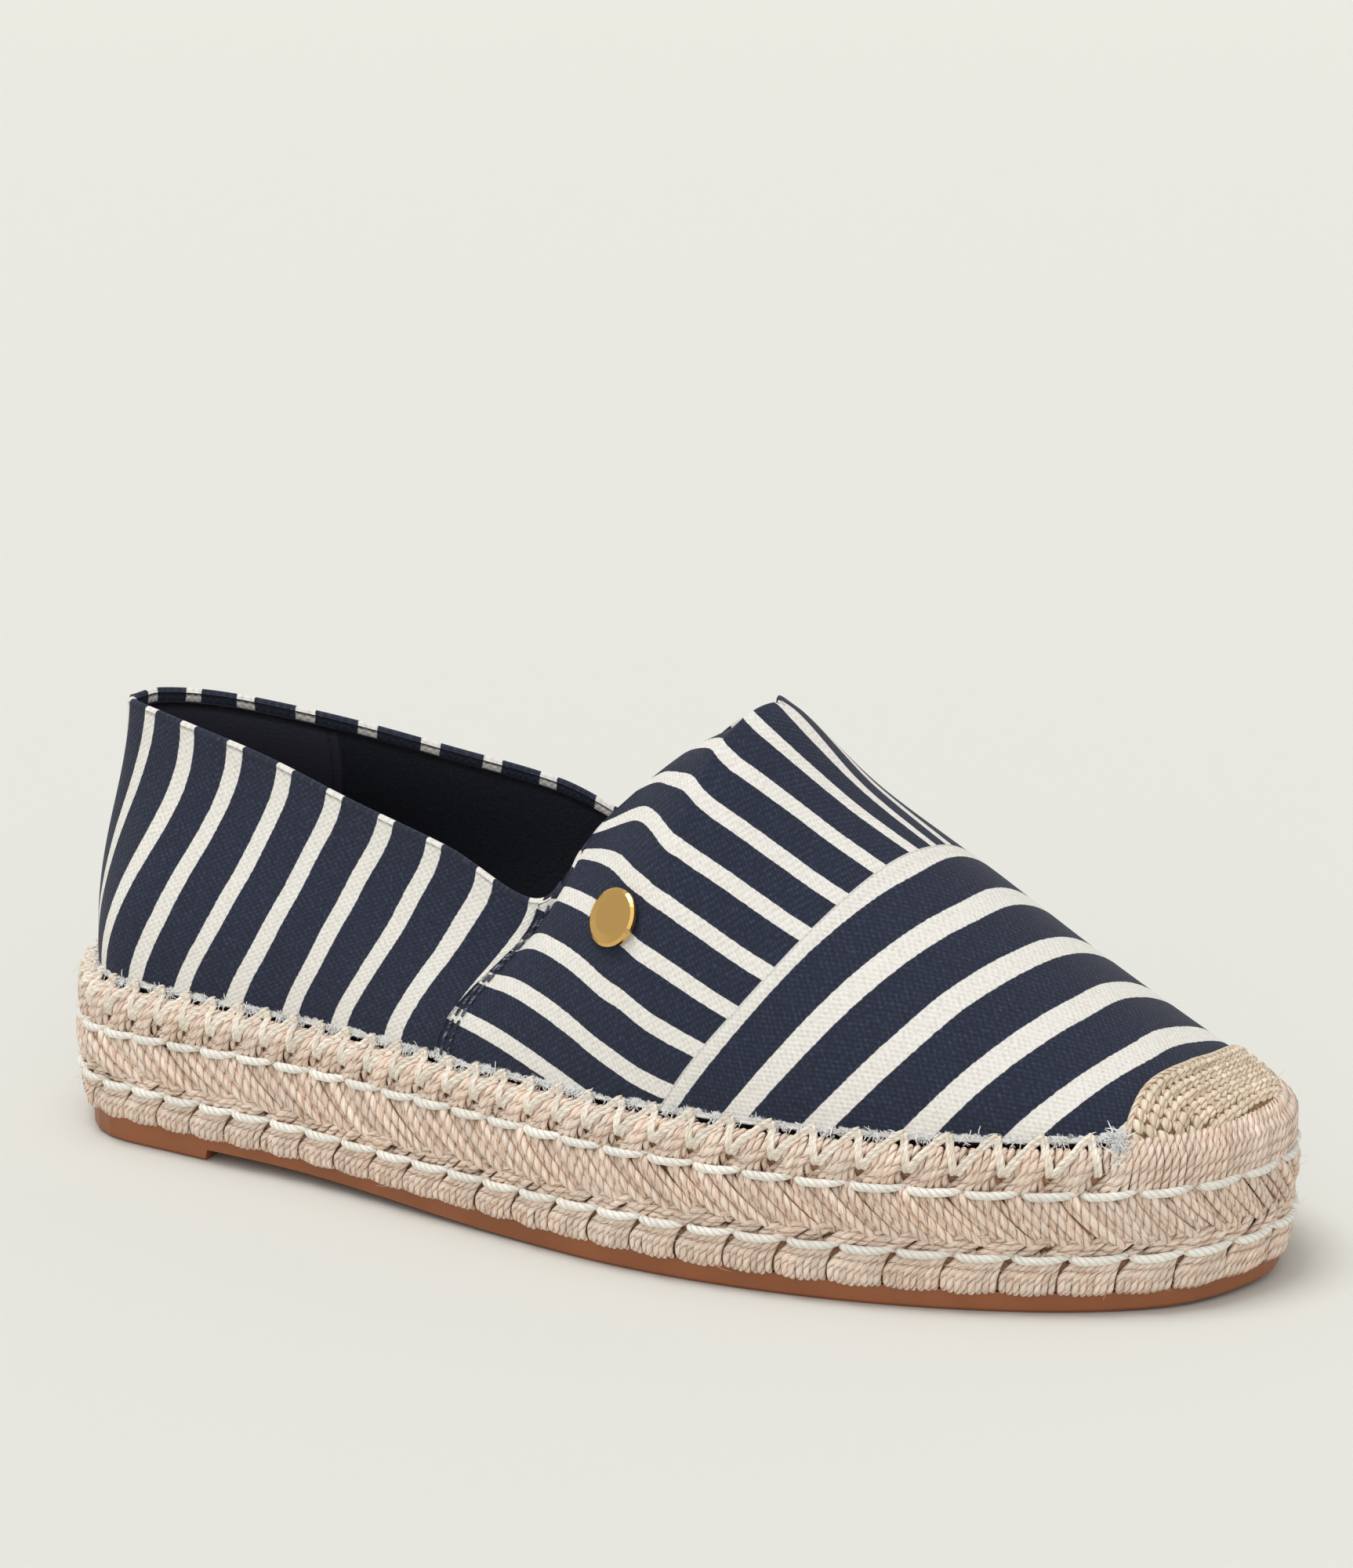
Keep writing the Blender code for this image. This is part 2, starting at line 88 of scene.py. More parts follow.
# Ribs of the upper from the feather line to its top edge: foot is a share of the
# way round one side, top along is a share of LENGTH, the half widths are shares
# of BALL_WIDTH, rise is a share of COLLAR_HEIGHT, crown goes from an upright
# edge at 0 to a level one at 1
RIBS = (
    # foot, top along, outer half, inner half, rise, crown
    (0.000, 0.037, 0.000, 0.000, 0.968, 0.00),
    (0.035, 0.053, 0.066, 0.068, 0.974, 0.00),
    (0.075, 0.103, 0.124, 0.130, 0.962, 0.00),
    (0.150, 0.190, 0.180, 0.190, 0.921, 0.00),
    (0.230, 0.277, 0.239, 0.250, 0.864, 0.00),
    (0.300, 0.366, 0.288, 0.296, 0.806, 0.00),
    (0.378, 0.448, 0.308, 0.308, 0.725, 0.05),
    (0.448, 0.484, 0.224, 0.220, 0.884, 0.45),
    (0.500, 0.536, 0.125, 0.122, 1.038, 0.80),
    (0.525, 0.578, 0.072, 0.070, 1.110, 0.95),
    (0.553, 0.599, 0.000, 0.000, 1.136, 1.00),
    (0.620, 0.665, 0.000, 0.000, 0.971, 1.00),
    (0.700, 0.755, 0.000, 0.000, 0.806, 1.00),
    (0.780, 0.840, 0.000, 0.000, 0.641, 1.00),
    (0.860, 0.905, 0.000, 0.000, 0.512, 1.00),
    (0.930, 0.935, 0.000, 0.000, 0.448, 1.00),
    (1.000, 0.935, 0.000, 0.000, 0.448, 1.00),
)
SEAM_RIB = 6
APEX_RIB = 10
POLE_RIB = 15
LAST_RIB = len(RIBS) - 1

# Fullness of the ribs, shares of their height and spread
FOOT_PULL = 0.42
FOOT_BULGE = 0.036
EDGE_PULL = 0.35
EDGE_LEAN = 0.010
RIDGE_PULL = 0.52


def hermite(at, knots, values):
    """Smooth curve through the values at the knots."""
    knots = np.asarray(knots, float)
    values = np.asarray(values, float)
    at = np.clip(np.asarray(at, float), knots[0], knots[-1])
    slopes = np.gradient(values, knots, axis=0)
    cell = np.clip(np.searchsorted(knots, at, side="right") - 1, 0, len(knots) - 2)
    width = knots[cell + 1] - knots[cell]
    t = (at - knots[cell]) / width
    if values.ndim > 1:
        t = t[..., None]
        width = width[..., None]
    ends = (1 + 2 * t) * (1 - t) ** 2 * values[cell] + t * t * (3 - 2 * t) * values[cell + 1]
    turns = t * (1 - t) ** 2 * slopes[cell] - t * t * (1 - t) * slopes[cell + 1]
    return ends + width * turns


# The same faces of a grid, seen from its other side
BACKWARDS = [0, 3, 2, 1]


def unit(vectors):
    """The same directions, one long."""
    return vectors / np.maximum(np.linalg.norm(vectors, axis=-1, keepdims=True), 1e-12)


def travelled(points, axis=0):
    """Length run from the first of the points, along an axis of their array."""
    steps = np.linalg.norm(np.diff(points, axis=axis), axis=-1)
    start = np.zeros_like(np.take(steps, [0], axis=axis))
    return np.concatenate([start, np.cumsum(steps, axis=axis)], axis=axis)


def between(at, way, values):
    """Columns of values read at places along a way."""
    return np.stack([np.interp(at, way, column) for column in values.T], axis=-1)


def quads(rows, columns, closed=False):
    """Faces of a grid of points: a corner, the next column, the one across, the next row."""
    last = columns if closed else columns - 1
    i, j = np.meshgrid(np.arange(rows - 1) * columns, np.arange(last), indexing="ij")
    after = (j + 1) % columns
    faces = np.stack([i + j, i + after, i + columns + after, i + columns + j], axis=-1)
    return faces.reshape(-1, 4)


def footprint_sides():
    """Points and normals of each side, heel to toe, with stations alike in length."""
    rows = np.array(OUTLINE)
    along = rows[:, 0] * LENGTH
    outer = np.column_stack([along, -rows[:, 1] * BALL_WIDTH])
    inner = np.column_stack([along, rows[:, 2] * BALL_WIDTH])
    loop = np.vstack([outer, inner[-2:0:-1]])
    count = len(loop)
    wrapped = np.vstack([loop[-4:], loop, loop[:5]])
    chords = np.linalg.norm(np.diff(wrapped, axis=0), axis=1)
    knots = np.concatenate([[0], np.cumsum(np.sqrt(chords))])
    knots = knots - knots[4]
    sides = []
    toe = knots[4 + len(rows) - 1]
    for first, last in ((knots[4], toe), (knots[4 + count], toe)):
        at = np.linspace(first, last, 1201)
        points = hermite(at, knots, wrapped)
        turn = 1 if last > first else -1
        tangents = np.gradient(points, axis=0)
        normals = unit(turn * np.column_stack([tangents[:, 1], -tangents[:, 0]]))
        arc = travelled(points)
        station = arc / arc[-1]
        if sides:
            reach = np.maximum.accumulate(sides[0][0][:, 0]) + GAP * sides[0][2]
            own = np.maximum.accumulate(points[:, 0]) + GAP * station
            span = (own - own[0]) / (own[-1] - own[0]) * (reach[-1] - reach[0]) + reach[0]
            station = np.interp(span, reach, sides[0][2])
        sides.append((points, normals, station, arc[-1]))
    return sides


SIDES = footprint_sides()
MIDDLE_Y = (SIDES[0][0][:, 1].min() + SIDES[1][0][:, 1].max()) / 2


def side_points(side, share, inset):
    """Points of one side of the footprint at shares of its arc, drawn in by an inset."""
    points, normals, arc, _ = SIDES[side]
    out = unit(between(share, arc, normals))
    return between(share, arc, points) - out * inset, out


def spring(along):
    """Rise of the sole at the toe."""
    share = np.clip((along / LENGTH - SPRING_START) / (1 - SPRING_START), 0, 1)
    return TOE_SPRING * share * share


def level(column, along):
    """Height of a line where two courses part."""
    rows = np.array(LEVELS)
    return SOLE_HEIGHT * hermite(along / LENGTH, rows[:, 0], rows[:, column]) + spring(along)


def rib_table(side, at):
    """Foot share, top point, crown and ridge slope of the ribs at these rib numbers."""
    rows = np.array(RIBS)
    knots = np.arange(len(rows))
    top_at = np.minimum(at, POLE_RIB)
    foot = hermite(at, knots, rows[:, 0])
    along = hermite(top_at, knots, rows[:, 1]) * LENGTH
    half = hermite(top_at, knots, rows[:, 2 + side]) * BALL_WIDTH
    half = np.where(at >= APEX_RIB - 1e-9, 0, np.maximum(half, 0))
    rise = hermite(top_at, knots, rows[:, 4]) * COLLAR_HEIGHT
    crown = np.clip(hermite(at, knots, rows[:, 5]), 0, 1)
    step = 0.05
    ridge_at = np.clip(at, APEX_RIB + step, POLE_RIB)
    before = hermite(ridge_at - step, knots, rows[:, [1, 4]])
    after = hermite(ridge_at, knots, rows[:, [1, 4]])
    run = np.maximum((after[:, 0] - before[:, 0]) * LENGTH, GAP)
    slope = (after[:, 1] - before[:, 1]) * COLLAR_HEIGHT / run
    top = np.column_stack([along, (1, -1)[side] * -half, rise])
    return foot, top, crown, slope


def upper_grid(side, at, up):
    """Points of the upper's face, at rib numbers and shares of the way up each rib."""
    foot, top, crown, slope = rib_table(side, at[:, 0])
    flat, out = side_points(side, foot, FEATHER_INSET)
    base = np.column_stack([flat, level(ROPE_TOP, flat[:, 0]) + GAP])
    up = np.broadcast_to(up, at.shape)
    tall = (top[:, 2] - base[:, 2])[:, None]
    outward = np.column_stack([out, np.zeros(len(out))])
    lift = np.array([0, 0, 1.0])
    first = base + tall * (FOOT_PULL * lift + FOOT_BULGE * outward)
    edge = tall * (EDGE_LEAN * outward - EDGE_PULL * lift)
    spread = base[:, :2] - top[:, :2]
    ridge = RIDGE_PULL * np.column_stack([spread, slope * spread[:, 0]])
    last = top + edge + crown[:, None] * (ridge - edge)
    t = up[:, :, None]
    base, first, last, top = (p[:, None, :] for p in (base, first, last, top))
    return (1 - t) ** 3 * base + 3 * t * (1 - t) ** 2 * first + 3 * t * t * (1 - t) * last + t**3 * top


def upper_faces(at, up):
    """Points and outward normals of both sides, alike where the sides meet."""
    fine_up = np.clip(up, 0, 0.985)
    points = []
    normals = []
    for side in (0, 1):
        points.append(upper_grid(side, at, up))
        step = 0.02
        across = upper_grid(side, np.clip(at + step, 0, None), fine_up)
        across = across - upper_grid(side, np.maximum(at - step, 0), fine_up)
        upward = upper_grid(side, at, fine_up + 0.01) - upper_grid(side, at, np.maximum(fine_up - 0.01, 0))
        normals.append(unit(np.cross(across, upward) * (1, -1)[side]))
    last = at >= LAST_RIB - 1e-9
    shared = (at <= 1e-9) | last | ((at >= APEX_RIB - 1e-9) & (up >= 1 - 1e-9))
    middle = normals[0] + normals[1]
    middle[..., 1] = 0
    pole = (at >= POLE_RIB - 1e-9) & (up >= 1 - 1e-9)
    if pole.any():
        middle[pole] = middle[pole].sum(axis=0)
    middle = unit(middle)
    for side in (0, 1):
        normals[side][shared] = middle[shared]
    centre = (points[0] + points[1]) / 2
    for side in (0, 1):
        points[side][shared] = centre[shared]
    return points, normals


def lap_lift(at):
    """How far the vamp stands over the quarter."""
    over = (at >= SEAM_RIB - 1e-9) * LAP
    return over * np.clip(1 - (at - SEAM_RIB) / LAP_TAPER, 0, 1)


# A millimetre, the way from the heel's frame to the part's, and chance
MM = 0.001
SHIFT = np.array([-LENGTH / 2, -MIDDLE_Y, 0.0])
CHANCE = np.random.default_rng(7)
WELD = 2e-6
WAY_SAMPLES = 3001

# Cloth: its thickness, the depth of its hem in mm, the seam of the heel lining,
# where the raw edge starts, the stripes and the weave in mm, the rib where the
# quarter ends under the vamp, and the shares of a stripe that are cream
CANVAS = 0.0007
HEM = 2.1
HEEL_LINING_RIB = 3.0
RAW_EDGE = 0.0010
STRIPE_PITCH = 10.0
WEAVE_PITCH = 1.3
QUARTER_END = 6.35
QUARTER_CREAM = 0.31
REAR_CREAM = 0.33
FRONT_CREAM = 0.345

# Rope, in mm: yarn radii and pitches, one place of each repeat round the sole, and
# the sewing thread, with the ribs where it ends
YARN_RADIUS = (0.66, 0.84)
UPPER_YARN_PITCH = 1.40
LOWER_YARN_PITCH = 1.42
CORE_POINTS = 480
HOLE_PLACE = 143.8
LOWER_STITCH_PLACE = 144.6
UPPER_STITCH_PLACE = 145.7
PETAL_PLACE = 204.8
HOLE_HEIGHT = 0.40
THREAD_RADIUS = 0.48
THREAD_APART = 0.36
THREAD_LIFT = 0.8
THREAD_DIVE = 1.2
THREAD_CLIMB = 8.0
THREAD_ENDS = (13.8, 13.98)

# How bundles lie: yarns pinched at a hole, slanting with height, and standing out in
# a bundle's middle while its sides sink, both in mm, and how uneven they are
UPPER_PINCH = 0.36
PINCH_REACH = 0.22
UPPER_SLANT = 1.7
UPPER_CREST = (0.55, 2.10)
LOWER_FAN = 0.17
LOWER_SLANT = (-3.0, 2.5)
LOWER_CREST = (0.25, 0.72)
BRAID_SWELL = (0.55, 1.05)
BRAID_SPREAD = 0.53
UNEVEN_SLANT = (0.16, 0.18)
UNEVEN_OUT = (0.12, 0.11)
UNEVEN_BRAID = (0.50, 0.9, 0.5)

# Crochet, in mm, and the ribs where the rope closes up against it
ROW_PITCH = 2.5
KNOT_PITCH = 2.3
KNOT_ROOM = 1.6
KNOT_ALONG = 1.15
KNOT_DOWN = 1.10
KNOT_RISE = 0.70
FIRST_ROW = 1.9
CAP_REACH = 30.0
TOE_RIBS = (14.0, 14.15)

# Loose fibres: how many, their radii in mm, the last rib that frays on each side,
# and the rib of the tuft
FRAYED = 8500
TUFTED = 320
HAIRS = 900
FRAY_RADIUS = 0.14
TUFT_RADIUS = 0.16
HAIR_RADIUS = 0.04
FRAY_ENDS = (14.05, 13.6)
TUFT_RIB = 14.03

# Stitches along the vamp's edge, in mm: their rows' insets, a rib's width there,
# and each stitch
STITCH_INSETS = (1.3, 2.7)
RIB_WIDTH = 17.0
STITCH_GAP = 2.9
STITCH_LENGTH = 2.1
STITCH_RADIUS = 0.30

# Back edge of the crochet
CROCHET_EDGE = (
    # way up the rib, rib on the near side, rib on the far side
    (0.00, 14.12, 14.15),
    (0.35, 14.09, 14.38),
    (0.60, 14.15, 14.50),
    (0.80, 14.33, 14.57),
    (1.00, 14.58, 14.58),
)

# Pitches of the running stitches, of the holes of the sewing thread and of the
# braid's petals, which grow from the heel to the toe
STITCH_PITCHES = (
    # way round from the heel, pitch in mm
    (0, 7.2),
    (40, 8.0),
    (80, 9.1),
    (130, 8.9),
    (160, 9.4),
    (200, 10.5),
    (240, 11.0),
    (296, 11.0),
)
THREAD_PITCHES = (
    # way round from the heel, pitch in mm
    (0, 6.3),
    (60, 6.5),
    (110, 6.7),
    (150, 7.0),
    (170, 7.9),
    (200, 8.6),
    (240, 9.0),
    (296, 9.0),
)
PETAL_PITCHES = (
    # way round from the heel, pitch in mm
    (0, 4.3),
    (100, 4.6),
    (200, 5.1),
    (296, 5.2),
)

# Quarter stripes, as the rib that each one meets at five ways up
QUARTER_STRIPES = (
    # stripe, foot, 0.25 up, half up, 0.75 up, rim
    (-1.5, 0.00, 0.00, 0.00, 0.00, 0.00),
    (-1.0, 0.53, 0.53, 0.55, 0.62, 0.73),
    (0.0, 1.55, 1.50, 1.42, 1.46, 1.55),
    (1.0, 2.12, 2.20, 2.23, 2.22, 2.17),
    (2.0, 2.66, 2.76, 2.73, 2.70, 2.70),
    (3.0, 3.14, 3.29, 3.28, 3.22, 3.25),
    (4.0, 3.68, 3.82, 3.80, 3.75, 3.82),
    (5.0, 4.30, 4.42, 4.36, 4.30, 4.38),
    (6.0, 4.88, 4.99, 4.95, 4.85, 4.88),
    (7.0, 5.50, 5.52, 5.46, 5.38, 5.40),
    (8.0, 6.06, 6.07, 6.00, 5.94, 5.96),
    (9.0, 6.65, 6.65, 6.60, 6.52, 6.54),
)

# Lengthwise stripes of the rear vamp panel, as the way up each rib
REAR_STRIPES = (
    # stripe, rib 6, rib 7, rib 8, rib 9, rib 10, rib 11, rib 12
    (0, 2.68, 1.81, 1.45, 1.16, 1.000, 1.000, 1.00),
    (1, 2.41, 1.62, 1.25, 1.01, 0.862, 0.898, 0.93),
    (2, 2.15, 1.43, 1.03, 0.84, 0.731, 0.767, 0.78),
    (3, 1.88, 1.24, 0.85, 0.70, 0.615, 0.631, 0.63),
    (4, 1.62, 0.98, 0.715, 0.565, 0.507, 0.507, 0.49),
    (5, 1.30, 0.84, 0.555, 0.450, 0.400, 0.380, 0.37),
    (6, 1.02, 0.655, 0.430, 0.338, 0.294, 0.260, 0.24),
    (7, 0.72, 0.470, 0.292, 0.230, 0.183, 0.150, 0.13),
    (8, 0.505, 0.296, 0.154, 0.102, 0.066, 0.030, 0.01),
    (9, 0.28, 0.112, 0.010, -0.03, -0.06, -0.09, -0.12),
    (10, 0.05, -0.07, -0.12, -0.15, -0.18, -0.21, -0.24),
)

# Stripes in a whole rise, for the cloth below the last of them
STRIPES_A_RISE = 6

# Crosswise stripes of the front vamp panel, as mm from the heel back, at ways
# down from the ridge
FRONT_DOWN = (0, 10, 20, 30, 40, 55, 75, 95)
FRONT_STRIPES = (
    # stripe, ridge, 10, 20, 30, 40, 55, 75 and 95 mm down
    (0, 174.3, 171.9, 168.3, 163.9, 159.4, 152.5, 143.5, 134.5),
    (1, 186.3, 184.2, 180.3, 175.9, 171.3, 164.5, 155.5, 146.6),
    (2, 198.7, 196.6, 192.6, 188.0, 183.0, 175.4, 165.1, 155.5),
    (3, 210.9, 208.2, 204.4, 199.9, 195.3, 187.4, 176.0, 165.5),
    (4, 221.8, 219.9, 216.4, 212.0, 207.0, 199.2, 188.0, 177.0),
    (5, 233.0, 231.4, 228.2, 223.9, 218.7, 210.8, 199.0, 187.5),
    (6, 243.5, 242.0, 238.5, 234.5, 229.5, 221.0, 209.0, 197.5),
)

# How far the stripes and the seam lie ahead of their place at the ridge, the same
# ways down on the far side
FAR_SHIFT = (0, 1.6, 2.6, 2.8, 1.5, -2.5, -10.0, -18.0)

# Seam between the two vamp panels, told the same way as the stripes
PANEL_SEAM = (185.2, 182.2, 178.8, 175.0, 170.8, 164.1, 154.6, 145.6)

# Yarns of the upper course, bottom to top, out in mm
UPPER_YARN = (
    # height, out
    (-0.16, -1.80),
    (-0.04, -0.75),
    (0.14, 0.10),
    (0.45, 0.38),
    (0.74, 0.12),
    (0.92, -0.55),
    (1.00, -1.60),
    (1.00, -2.90),
)

# Yarns of the lower course, top to bottom, out in mm
LOWER_YARN = (
    # height, out
    (1.14, -1.80),
    (1.00, -0.75),
    (0.80, 0.00),
    (0.48, 0.40),
    (0.18, 0.25),
    (0.03, -0.35),
    (0.00, -1.70),
)

# Yarns of the braid: the long petals, those that cross them below, and those that
# fill their tops. Out and way along are in mm
PETAL_YARN = (
    # height, out, way along
    (1.02, -1.80, -0.9),
    (0.98, -0.60, -0.6),
    (0.90, 0.35, 0.1),
    (0.68, 0.70, 2.6),
    (0.47, 0.50, 5.4),
    (0.31, 0.15, 7.7),
    (0.20, -0.50, 9.6),
    (0.14, -1.50, 10.6),
)
CROSSING_YARN = (
    # height, out, way along
    (-0.08, -1.60, 0.2),
    (0.01, -0.35, 1.2),
    (0.14, 0.30, 3.3),
    (0.27, 0.10, 5.3),
    (0.38, -1.10, 6.9),
)
TOP_YARN = (
    # height, out, way along
    (0.80, -1.50, -3.4),
    (0.88, -0.60, -2.7),
    (0.96, -0.50, -1.8),
    (1.06, -1.40, -0.6),
)

BRAID_SETS = (
    # yarns in a bundle, radius in mm, how much the bundle swells, table
    (3, 0.86, 1.0, PETAL_YARN),
    (3, 0.68, 0.5, CROSSING_YARN),
    (2, 0.52, 0.3, TOP_YARN),
)

# One running stitch, out and lift in mm
RUNNING_STITCH = (
    # way along in pitches, out, lift
    (0.00, -1.60, -0.06),
    (0.02, -0.10, -0.10),
    (0.07, 0.85, -0.14),
    (0.20, 1.20, -0.18),
    (0.45, 1.25, -0.14),
    (0.66, 1.10, 0.00),
    (0.82, 0.65, 0.18),
    (0.92, -0.20, 0.30),
    (0.97, -1.50, 0.36),
)

# The sewing thread, up from a hole and down into the next, out in mm
THREAD_UP = (
    # way from the hole in pitches, height, out
    (0.02, 0.40, -1.20),
    (0.05, 0.46, 0.20),
    (0.16, 0.68, 0.95),
    (0.34, 0.92, 0.75),
    (0.52, 1.06, -0.50),
    (0.70, 1.16, -1.70),
    (0.82, 1.25, -2.30),
    (0.88, 1.28, -3.20),
)
THREAD_DOWN = (
    # way from the hole in pitches, height, out
    (0.82, 1.27, -3.10),
    (0.85, 1.22, -2.10),
    (0.88, 1.12, -1.25),
    (0.91, 0.98, -0.35),
    (0.95, 0.82, 0.45),
    (0.97, 0.62, 0.65),
    (0.98, 0.46, 0.15),
    (0.99, 0.40, -1.20),
)


def closed_way():
    """The footprint as one loop, heel round the outer side to the toe and back."""
    points, normals, station, _ = zip(*SIDES)
    flat = np.vstack([points[0], points[1][-2::-1]])
    out = np.vstack([normals[0], normals[1][-2::-1]])
    share = np.concatenate([station[0], station[1][-2::-1]])
    return flat, out, share, travelled(flat)


LOOP, LOOP_OUT, LOOP_SHARE, LOOP_WAY = closed_way()
ROUND = LOOP_WAY[-1]
TOE_WAY = SIDES[0][3]
RIB_NUMBERS = np.linspace(0, LAST_RIB, 1601)
FOOT_SHARES = hermite(RIB_NUMBERS, np.arange(LAST_RIB + 1), np.array(RIBS)[:, 0])


def way_point(way):
    """Footprint point and outward direction at this way round."""
    way = np.mod(way, ROUND)
    return between(way, LOOP_WAY, LOOP), unit(between(way, LOOP_WAY, LOOP_OUT))


def way_rib(way):
    """Side and rib number over this way round."""
    way = np.mod(way, ROUND)
    side = (way > TOE_WAY).astype(int)
    share = np.interp(way, LOOP_WAY, LOOP_SHARE)
    return side, np.interp(share, FOOT_SHARES, RIB_NUMBERS)


def on_course(way, height, out, line):
    """Point on a rope course, its height a share from a line to the next one up."""
    flat, normal = way_point(way)
    foot = level(line, flat[..., 0])
    top = level(line + 1, flat[..., 0])
    flat = flat + normal * out[..., None]
    return np.concatenate([flat, (foot + height * (top - foot))[..., None]], axis=-1)


def out_of(way):
    """Level outward direction at this way round."""
    _, normal = way_point(way)
    return np.concatenate([normal, np.zeros(normal.shape[:-1] + (1,))], axis=-1)


def skin(side, at, up):
    """Points and normals of the upper's face at any rib numbers and ways up."""
    shape = np.broadcast_shapes(np.shape(side), np.shape(at), np.shape(up))
    side = np.broadcast_to(side, shape).reshape(-1)
    at = np.broadcast_to(at, shape).reshape(-1, 1)
    up = np.broadcast_to(up, shape).reshape(-1, 1)
    points, normals = upper_faces(at, up)
    point = np.where(side[:, None] == 0, points[0][:, 0], points[1][:, 0])
    normal = np.where(side[:, None] == 0, normals[0][:, 0], normals[1][:, 0])
    return point.reshape(shape + (3,)), normal.reshape(shape + (3,))


def rise_share(side, at, distance):
    """Way up the rib that is this far along it from the feather line."""
    at = np.asarray(at, float)
    distance = np.broadcast_to(distance, np.broadcast(at, distance).shape)
    which = np.broadcast_to(side, distance.shape).reshape(-1)
    where = np.broadcast_to(at, distance.shape).reshape(-1)
    ups = np.linspace(0, 0.5, 17)
    line, _ = skin(which[:, None], where[:, None], np.broadcast_to(ups, (len(where), len(ups))))
    run = travelled(line, 1)
    found = [np.interp(far, row, ups) for far, row in zip(distance.reshape(-1), run)]
    return np.array(found).reshape(distance.shape)


def smooth(low, high, value):
    """Soft step from 0 at low to 1 at high."""
    t = np.clip((value - low) / (high - low), 0, 1)
    return t * t * (3 - 2 * t)


class Piece:
    """Mesh of many joined parts, with a tone for each point."""

    def __init__(self, name):
        self.name = name
        self.points = []
        self.tones = []
        self.corners = []
        self.counts = []
        self.uvs = []
        self.slots = []
        self.size = 0
        self.values = {}

    def add(self, points, faces, uvs, tone=0.5, slot=0, **values):
        """faces and uvs are alike: (count, corners) and (count, corners, 2) arrays."""
        points = points.reshape(-1, 3)
        self.points.append(points)
        self.tones.append(np.broadcast_to(tone, len(points)))
        for name in values:
            self.values.setdefault(name, []).append(values[name].reshape(-1))
        for face, uv in zip(faces, uvs):
            self.corners.append((face + self.size).reshape(-1))
            self.counts.append(np.full(len(face), face.shape[1]))
            self.uvs.append(uv.reshape(-1, 2))
            self.slots.append(np.full(len(face), slot))
        self.size += len(points)

    def build(self, materials, replaced=(), weld=False):
        """The object, riding the shoe's body and standing in for the replaced nodes."""
        mesh = bpy.data.meshes.new(self.name)
        points = np.vstack(self.points) + SHIFT
        corners = np.concatenate(self.corners)
        counts = np.concatenate(self.counts)
        mesh.vertices.add(len(points))
        mesh.vertices.foreach_set("co", points.reshape(-1).astype(np.float32))
        mesh.loops.add(len(corners))
        mesh.loops.foreach_set("vertex_index", corners.astype(np.int32))
        mesh.polygons.add(len(counts))
        starts = np.concatenate([[0], np.cumsum(counts)[:-1]])
        mesh.polygons.foreach_set("loop_start", starts.astype(np.int32))
        mesh.polygons.foreach_set("material_index", np.concatenate(self.slots).astype(np.int32))
        layer = mesh.uv_layers.new(name="strand")
        layer.data.foreach_set("uv", np.vstack(self.uvs).reshape(-1).astype(np.float32))
        tones = mesh.attributes.new("tone", "FLOAT", "POINT")
        tones.data.foreach_set("value", np.concatenate(self.tones).astype(np.float32))
        for name, parts in self.values.items():
            held = mesh.attributes.new(name, "FLOAT", "POINT")
            held.data.foreach_set("value", np.concatenate(parts).astype(np.float32))
        mesh.update(calc_edges=True)
        for made in materials:
            mesh.materials.append(made)
        if weld:
            work = bmesh.new()
            work.from_mesh(mesh)
            bmesh.ops.remove_doubles(work, verts=work.verts, dist=WELD)
            work.to_mesh(mesh)
            work.free()
        mesh.validate()
        mesh.shade_smooth()
        made = bpy.data.objects.new(self.name, mesh)
        bpy.context.scene.collection.objects.link(made)
        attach(made, "root")
        if replaced:
            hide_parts(*replaced)
        return made


def tubes(paths, outs, radius, sides=7, squash=1.0, lobes=0, ply=0.0, turn=0.0):
    """Strands along many paths of equal count: points, faces and their UVs in mm."""
    count, rings = paths.shape[:2]
    tangent = unit(np.gradient(paths, axis=1))
    across = unit(np.cross(tangent, np.broadcast_to(outs, paths.shape)))
    lifted = np.cross(across, tangent)
    along = travelled(paths, 1)
    theta = np.arange(sides) / sides * 2 * math.pi - math.pi / 2
    wide = np.broadcast_to(radius, (count, rings))[..., None]
    wide = wide * (1 + ply * np.cos(lobes * (theta - turn * along[..., None])))
    spoke = np.cos(theta)[:, None] * across[:, :, None, :]
    spoke = spoke + squash * np.sin(theta)[:, None] * lifted[:, :, None, :]
    points = paths[:, :, None, :] + wide[..., None] * spoke
    k, i, j = np.meshgrid(np.arange(count), np.arange(rings - 1), np.arange(sides), indexing="ij")
    after = (j + 1) % sides

    def corner(row, column):
        return (k * rings + row) * sides + column

    face = np.stack([corner(i, j), corner(i + 1, j), corner(i + 1, after), corner(i, after)], axis=-1)
    low = along[k, i] / MM
    high = along[k, i + 1] / MM
    u = j / sides
    v = (j + 1) / sides
    uv = np.stack([np.stack(pair, axis=-1) for pair in ((u, low), (u, high), (v, high), (v, low))], axis=-2)
    cap = np.arange(count)[:, None] * rings * sides + np.arange(sides)
    far = (cap + (rings - 1) * sides)[:, ::-1]
    blank = np.zeros((count, sides, 2))
    return points, (face.reshape(-1, 4), cap, far), (uv.reshape(-1, 4, 2), blank, blank)


def strands(piece, paths, outs, radius, slot=0, tone=None, **shape):
    """Adds strands to a piece, each with a tone of its own."""
    points, faces, uvs = tubes(paths, outs, radius, **shape)
    if tone is None:
        tone = CHANCE.random(len(paths))
    each = points.shape[1] * points.shape[2]
    piece.add(points, faces, uvs, np.repeat(np.broadcast_to(tone, len(paths)), each), slot)


